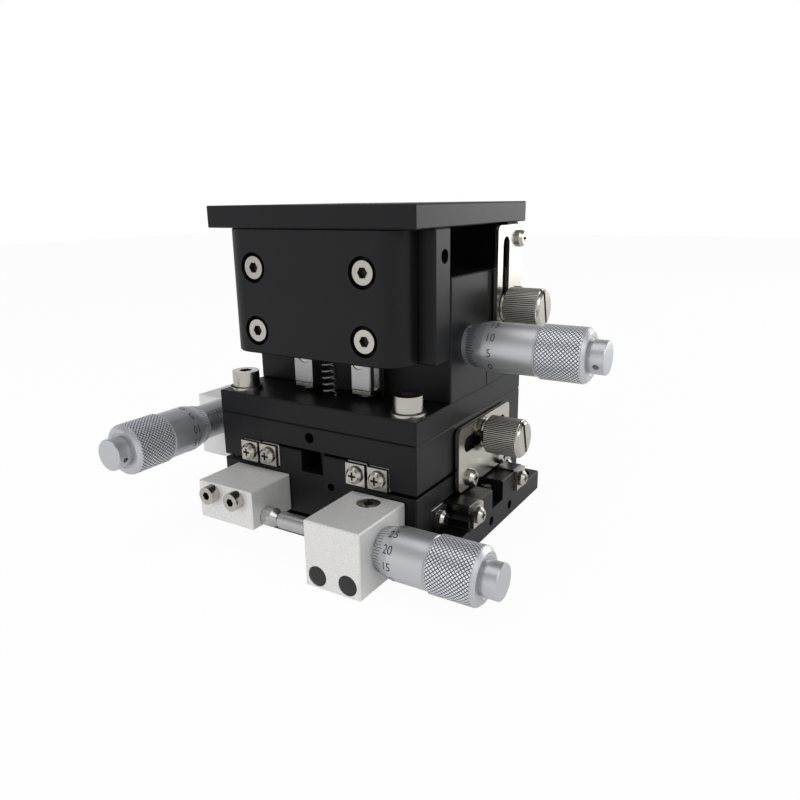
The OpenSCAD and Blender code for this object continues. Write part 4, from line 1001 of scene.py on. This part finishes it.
def spring(name, s, sizes, material):
    """Wound wire: a small ring is turned along a helix, and its ends are closed."""
    way = s["way"]
    length = length_along(name, way)
    nothing_selected()
    bpy.ops.mesh.primitive_circle_add(
        vertices=WIRE_SIDES, radius=sizes.wire,
        location=(SPRING.radius, 0, SPRING.end_room), rotation=(math.pi / 2, 0, 0),
    )
    made = bpy.context.object
    made.name = name + "_wire"
    bpy.ops.object.transform_apply(location=True, rotation=True, scale=True)
    screw = made.modifiers.new("wind", "SCREW")
    screw.steps = screw.render_steps = WIRE_STEPS
    screw.screw_offset = (length - 2 * SPRING.end_room) / s["turns"]
    screw.iterations = s["turns"]
    screw.use_merge_vertices = False
    bpy.ops.object.modifier_apply(modifier=screw.name)
    bpy.ops.object.mode_set(mode="EDIT")
    bpy.ops.mesh.select_mode(type="EDGE")
    bpy.ops.mesh.select_all(action="DESELECT")
    bpy.ops.mesh.select_non_manifold()
    bpy.ops.mesh.edge_face_add()
    bpy.ops.mesh.fill_holes(sides=WIRE_SIDES)
    bpy.ops.mesh.select_all(action="SELECT")
    bpy.ops.mesh.normals_make_consistent(inside=False)
    bpy.ops.object.mode_set(mode="OBJECT")
    fixed(made, facing(way, foot(name, way)))
    smooth(made, degrees=60)
    finish_piece(made, material, s["body"])
    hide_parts(name)
    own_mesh(made)


# A plug from the side, as heights and radii in millimetres: a thin disc with a crown
PLUG_OUTLINE = ((0, 2.3), (0.04, 2.38), (0.12, 2.38), (0.19, 2.26), (0.2, 1.4))
PLUG_SIDES = 40

# Where a holder's screws sit: from its end away from the thimble, and up from the
# stage's underside. The foot of a plug lies this deep in the holder.
HOLDER_SCREWS = (3.4 * MM, 11.6 * MM)
X_SCREW_HEIGHT = 3.654 * MM
Y_SCREW_HEIGHT = 15 * MM
PLUG_SUNK = 0.23 * MM


def plug(name, at, way, body, material):
    """Snap-in plug over a holder screw: a slightly crowned disc, flush with the holder."""
    made = turned(name, [(z * MM, r * MM) for z, r in PLUG_OUTLINE], PLUG_SIDES)
    fixed(made, facing(way, at))
    smooth(made, degrees=40)
    finish_piece(made, material, body)


# The floor: its side and how far it lies below the stage, in metres, and how much of
# its plain white the camera and the metals see
FLOOR_SIDE = 3
FLOOR_DROP = 0.05 * MM
FLOOR_SEEN = 0.955
FLOOR_MIRRORED = 0.3


def floor_plane(colour):
    """Pale floor that takes the stage's shadow and is almost white to the camera."""
    nothing_selected()
    bpy.ops.mesh.primitive_plane_add(size=FLOOR_SIDE, location=(0, 0, -FLOOR_DROP))
    floor = bpy.context.object
    floor.name = "floor"
    made, tree, body = surface("Pale studio floor", {"Roughness": 0.9})
    body.inputs["Base Color"].default_value = (*colour, 1)
    white = add(tree, "ShaderNodeEmission", inputs={"Color": (1, 1, 1, 1), "Strength": 1.0})
    rays = add(tree, "ShaderNodeLightPath")
    seen, mirrored = (
        add(tree, "ShaderNodeMath", {"operation": "MULTIPLY"}, {0: rays.outputs[ray], 1: share})
        for ray, share in (("Is Camera Ray", FLOOR_SEEN), ("Is Glossy Ray", FLOOR_MIRRORED))
    )
    share = add(
        tree, "ShaderNodeMath", {"operation": "MAXIMUM"},
        {0: seen.outputs[0], 1: mirrored.outputs[0]},
    )
    mix = add(
        tree, "ShaderNodeMixShader",
        inputs={0: share.outputs[0], 1: body.outputs[0], 2: white.outputs[0]},
    )
    out = next(n for n in tree.nodes if n.type == "OUTPUT_MATERIAL")
    tree.links.new(mix.outputs[0], out.inputs["Surface"])
    floor.data.materials.append(made)


# The room: its light on the stage, and what metals mirror of it, from the strength at a
# low height of the sky to the strength at a high one
ROOM_COLOUR = (0.97, 0.98, 1, 1)
ROOM_LIGHT = 0.45
SKY = {"From Min": 0.1, "From Max": 0.7, "To Min": 1.0, "To Max": 0.25}


def room(scene):
    """White room: brighter round the horizon than overhead, so that metal shows bands."""
    world = bpy.data.worlds.new("studio")
    world.use_nodes = True
    scene.world = world
    tree = world.node_tree
    tree.nodes.clear()
    rays = add(tree, "ShaderNodeLightPath")
    sky = add(tree, "ShaderNodeTexCoord")
    parts = add(tree, "ShaderNodeSeparateXYZ", inputs={"Vector": sky.outputs["Generated"]})
    height = add(tree, "ShaderNodeMapRange", inputs={"Value": parts.outputs["Z"], **SKY})
    direct = add(
        tree, "ShaderNodeMath", {"operation": "MAXIMUM"},
        {0: rays.outputs["Is Camera Ray"], 1: rays.outputs["Is Transmission Ray"]},
    )
    mirrored, lit, shown = (
        add(tree, "ShaderNodeBackground", inputs={"Color": colour, "Strength": strength})
        for colour, strength in (
            (ROOM_COLOUR, height.outputs["Result"]),
            (ROOM_COLOUR, ROOM_LIGHT),
            ((1, 1, 1, 1), 1.0),
        )
    )
    glossy = add(
        tree, "ShaderNodeMixShader",
        inputs={0: rays.outputs["Is Glossy Ray"], 1: lit.outputs[0], 2: mirrored.outputs[0]},
    )
    mix = add(
        tree, "ShaderNodeMixShader",
        inputs={0: direct.outputs[0], 1: glossy.outputs[0], 2: shown.outputs[0]},
    )
    out = add(tree, "ShaderNodeOutputWorld")
    tree.links.new(mix.outputs[0], out.inputs["Surface"])


# Each lamp: its place, the point that it faces, its side in metres, its watts, and
# whether metals mirror it. The front lamp only lifts the blasted metal, without a glare
# on the dials.
LAMPS = {
    "key": ((0.42, -0.12, 0.34), (0.02, 0, 0.04), 0.3, 0.55, True),
    "top": ((-0.1, -0.1, 0.55), (0, 0, 0.04), 0.4, 0.6, True),
    "front": ((-0.15, -0.55, 0.2), (0, 0, 0.03), 0.4, 1.5, False),
    "back": ((0.4, 0.6, 0.16), (0.02, 0, 0.04), 0.4, 1.5, True),
}


def lamps():
    """Four square area lamps."""
    for name, (at, to, side, power, mirrored) in LAMPS.items():
        nothing_selected()
        turn = (Vector(at) - Vector(to)).to_track_quat("Z", "Y").to_euler()
        bpy.ops.object.light_add(type="AREA", location=at, rotation=turn)
        lamp = bpy.context.object
        lamp.name = name
        lamp.data.shape = "SQUARE"
        lamp.data.size = side
        lamp.data.energy = power
        lamp.visible_glossy = mirrored


# The camera: its place, its yaw, pitch and roll in degrees, and its focal length in
# pixels of a picture that is so many pixels wide
CAMERA_AT = (97.6 * MM, -157.2 * MM, 83.8 * MM)
CAMERA_TURNS = (31.732, 15.931, -0.819)
FOCAL_PIXELS = 700.6
PICTURE_PIXELS = 800
SENSOR_WIDTH = 36
CLIP_START = 0.01


def camera(scene):
    """Camera at the photograph's viewpoint."""
    yaw, pitch, roll = (math.radians(turn) for turn in CAMERA_TURNS)
    ahead = Vector((-math.sin(yaw), math.cos(yaw), 0))
    right = Vector((math.cos(yaw), math.sin(yaw), 0))
    look = math.cos(pitch) * ahead - math.sin(pitch) * UP
    above = math.sin(pitch) * ahead + math.cos(pitch) * UP
    side = math.cos(roll) * right + math.sin(roll) * above
    over = -math.sin(roll) * right + math.cos(roll) * above
    nothing_selected()
    bpy.ops.object.camera_add()
    made = bpy.context.object
    made.matrix_world = axes((side, over, -look), CAMERA_AT)
    made.data.sensor_width = SENSOR_WIDTH
    made.data.lens = SENSOR_WIDTH * FOCAL_PIXELS / PICTURE_PIXELS
    made.data.clip_start = CLIP_START
    scene.camera = made


class Metals(bpy.types.Operator):
    """Gives each solid of the frame its finish"""

    bl_idname = "linear_stage.metals"
    bl_label = "Metals"

    def execute(self, context):
        c = context.scene.stage_colours
        # painted shade: the inner X rails get the same ground steel darkened to a sixth; the spring
        # wire is a dark tone of that steel too
        painted_shade_steel = ground(shade(c.steel, 0.16), "Steel darkened as painted shade")
        wire = satin(shade(c.steel, 0.5), "Spring wire", (0.25, 0.35))
        finishes = [
            (BLACK_PARTS, anodised(c.black)),
            (BLASTED_PARTS, blasted(c.silver)),
            (RAIL_PARTS, ground(c.steel)),
            (DARK_RAIL_PARTS, painted_shade_steel),
            (SPINDLE_PARTS, satin(c.steel, "Ground spindle steel", (0.16, 0.28))),
            (CHROME_PARTS, satin(c.chrome)),
            ([*SCREW_PARTS, *KNOBS], nickel(c.nickel)),
            (PLATE_PARTS, rolled(c.nickel)),
            (SPRINGS, wire),
        ]
        for names, material in finishes:
            for name in names:
                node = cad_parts[name]
                node.data.materials.clear()
                node.data.materials.append(material)
        # painted shade: sockets and crosses are coloured dark, so that they show dark in the bright
        # heads
        painted_shade = oiled_metal("Painted shade in the sockets", "#35332e")
        for name in SCREW_PARTS:
            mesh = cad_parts[name].data
            mesh.materials.append(painted_shade)
            for face in recessed_faces(mesh):
                mesh.polygons[face].material_index = 1
        return {"FINISHED"}


class Thimbles(bpy.types.Operator):
    """Makes the three knurled thimbles"""

    bl_idname = "linear_stage.thimbles"
    bl_label = "Thimbles"

    def execute(self, context):
        material = bpy.data.materials["Satin chrome plated steel"]
        # painted shade for the knurl's grooves and painted highlight for the diamonds' tops
        painted_shade = oiled_metal("Painted shade in the knurl", "#8d9198")
        bright = burnished("Painted highlight on the knurl", "#eceef2")
        for key, m in MICROMETERS.items():
            thimble(key, m, context.scene.stage_sizes, material, painted_shade, bright)
        return {"FINISHED"}


class Contacts(bpy.types.Operator):
    """Makes the anvil pins and spindles of the two flat axes"""

    bl_idname = "linear_stage.contacts"
    bl_label = "Anvils and spindles"

    def execute(self, context):
        material = bpy.data.materials["Ground spindle steel"]
        for key, m in MICROMETERS.items():
            if "anvil" in m:
                contact(key, m, material)
        return {"FINISHED"}


class Dials(bpy.types.Operator):
    """Draws the divisions and numbers of thimbles and sleeves"""

    bl_idname = "linear_stage.dials"
    bl_label = "Dial marks"

    def execute(self, context):
        material = paint(context.scene.stage_colours.marks)
        for key, m in MICROMETERS.items():
            dial(key, m, context.scene.stage_sizes, material)
            main_scale(key, m, context.scene.stage_sizes, material)
        return {"FINISHED"}


class Knobs(bpy.types.Operator):
    """Makes the three ribbed lock screws"""

    bl_idname = "linear_stage.knobs"
    bl_label = "Lock screws"

    def execute(self, context):
        material = bpy.data.materials["Nickel plated steel"]
        # painted shade for the rib valleys and painted highlight for the rib lands
        painted_shade = oiled_metal("Painted shade between the ribs", "#4a4843")
        bright = burnished("Painted highlight on the ribs", "#cbc8be")
        for name, k in KNOBS.items():
            knob(name, k, context.scene.stage_sizes, material, painted_shade, bright)
        return {"FINISHED"}


class Springs(bpy.types.Operator):
    """Winds the three return springs"""

    bl_idname = "linear_stage.springs"
    bl_label = "Springs"

    def execute(self, context):
        material = bpy.data.materials["Spring wire"]
        for name, s in SPRINGS.items():
            spring(name, s, context.scene.stage_sizes, material)
        return {"FINISHED"}


class Plugs(bpy.types.Operator):
    """Puts the black plugs over the holder screws"""

    bl_idname = "linear_stage.plugs"
    bl_label = "Screw plugs"

    def execute(self, context):
        material = plug_plastic()
        low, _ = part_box("x_mic_holder")
        for k, along in enumerate(HOLDER_SCREWS):
            at = (low[0] + along, low[1] + PLUG_SUNK, X_SCREW_HEIGHT)
            plug(f"x_plug_{k}", at, (0, -1, 0), "base", material)
        low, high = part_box("y_mic_holder")
        for k, along in enumerate(HOLDER_SCREWS):
            at = (low[0] + PLUG_SUNK, high[1] - along, Y_SCREW_HEIGHT)
            plug(f"y_plug_{k}", at, (-1, 0, 0), "x_carriage", material)
        return {"FINISHED"}


class Studio(bpy.types.Operator):
    """Adds the floor, the room, the lamps and the camera"""

    bl_idname = "linear_stage.studio"
    bl_label = "Studio"

    def execute(self, context):
        scene = context.scene
        floor_plane(scene.stage_colours.floor)
        room(scene)
        lamps()
        camera(scene)
        scene.view_settings.view_transform = "Standard"
        return {"FINISHED"}


class StagePanel(bpy.types.Panel):
    """Lists the colours, the sizes and the steps of the stage"""

    bl_idname = "VIEW3D_PT_linear_stage"
    bl_label = "Linear stage"
    bl_space_type = "VIEW_3D"
    bl_region_type = "UI"
    bl_category = "Linear stage"

    def draw(self, context):
        column = self.layout.column()
        for group in (context.scene.stage_colours, context.scene.stage_sizes):
            for name in group.__annotations__:
                column.prop(group, name)
        for step in STEPS:
            column.operator(step.bl_idname)


STEPS = (Metals, Thimbles, Contacts, Dials, Knobs, Springs, Plugs, Studio)
CLASSES = (StageColours, StageSizes, *STEPS, StagePanel)


def register():
    for c in CLASSES:
        bpy.utils.register_class(c)
    bpy.types.Scene.stage_colours = PointerProperty(type=StageColours)
    bpy.types.Scene.stage_sizes = PointerProperty(type=StageSizes)


def unregister():
    del bpy.types.Scene.stage_sizes
    del bpy.types.Scene.stage_colours
    for c in reversed(CLASSES):
        bpy.utils.unregister_class(c)


def main():
    register()
    bpy.ops.linear_stage.metals()
    bpy.ops.linear_stage.thimbles()
    bpy.ops.linear_stage.contacts()
    bpy.ops.linear_stage.dials()
    bpy.ops.linear_stage.knobs()
    bpy.ops.linear_stage.springs()
    bpy.ops.linear_stage.plugs()
    bpy.ops.linear_stage.studio()


if __name__ == "__main__":
    main()
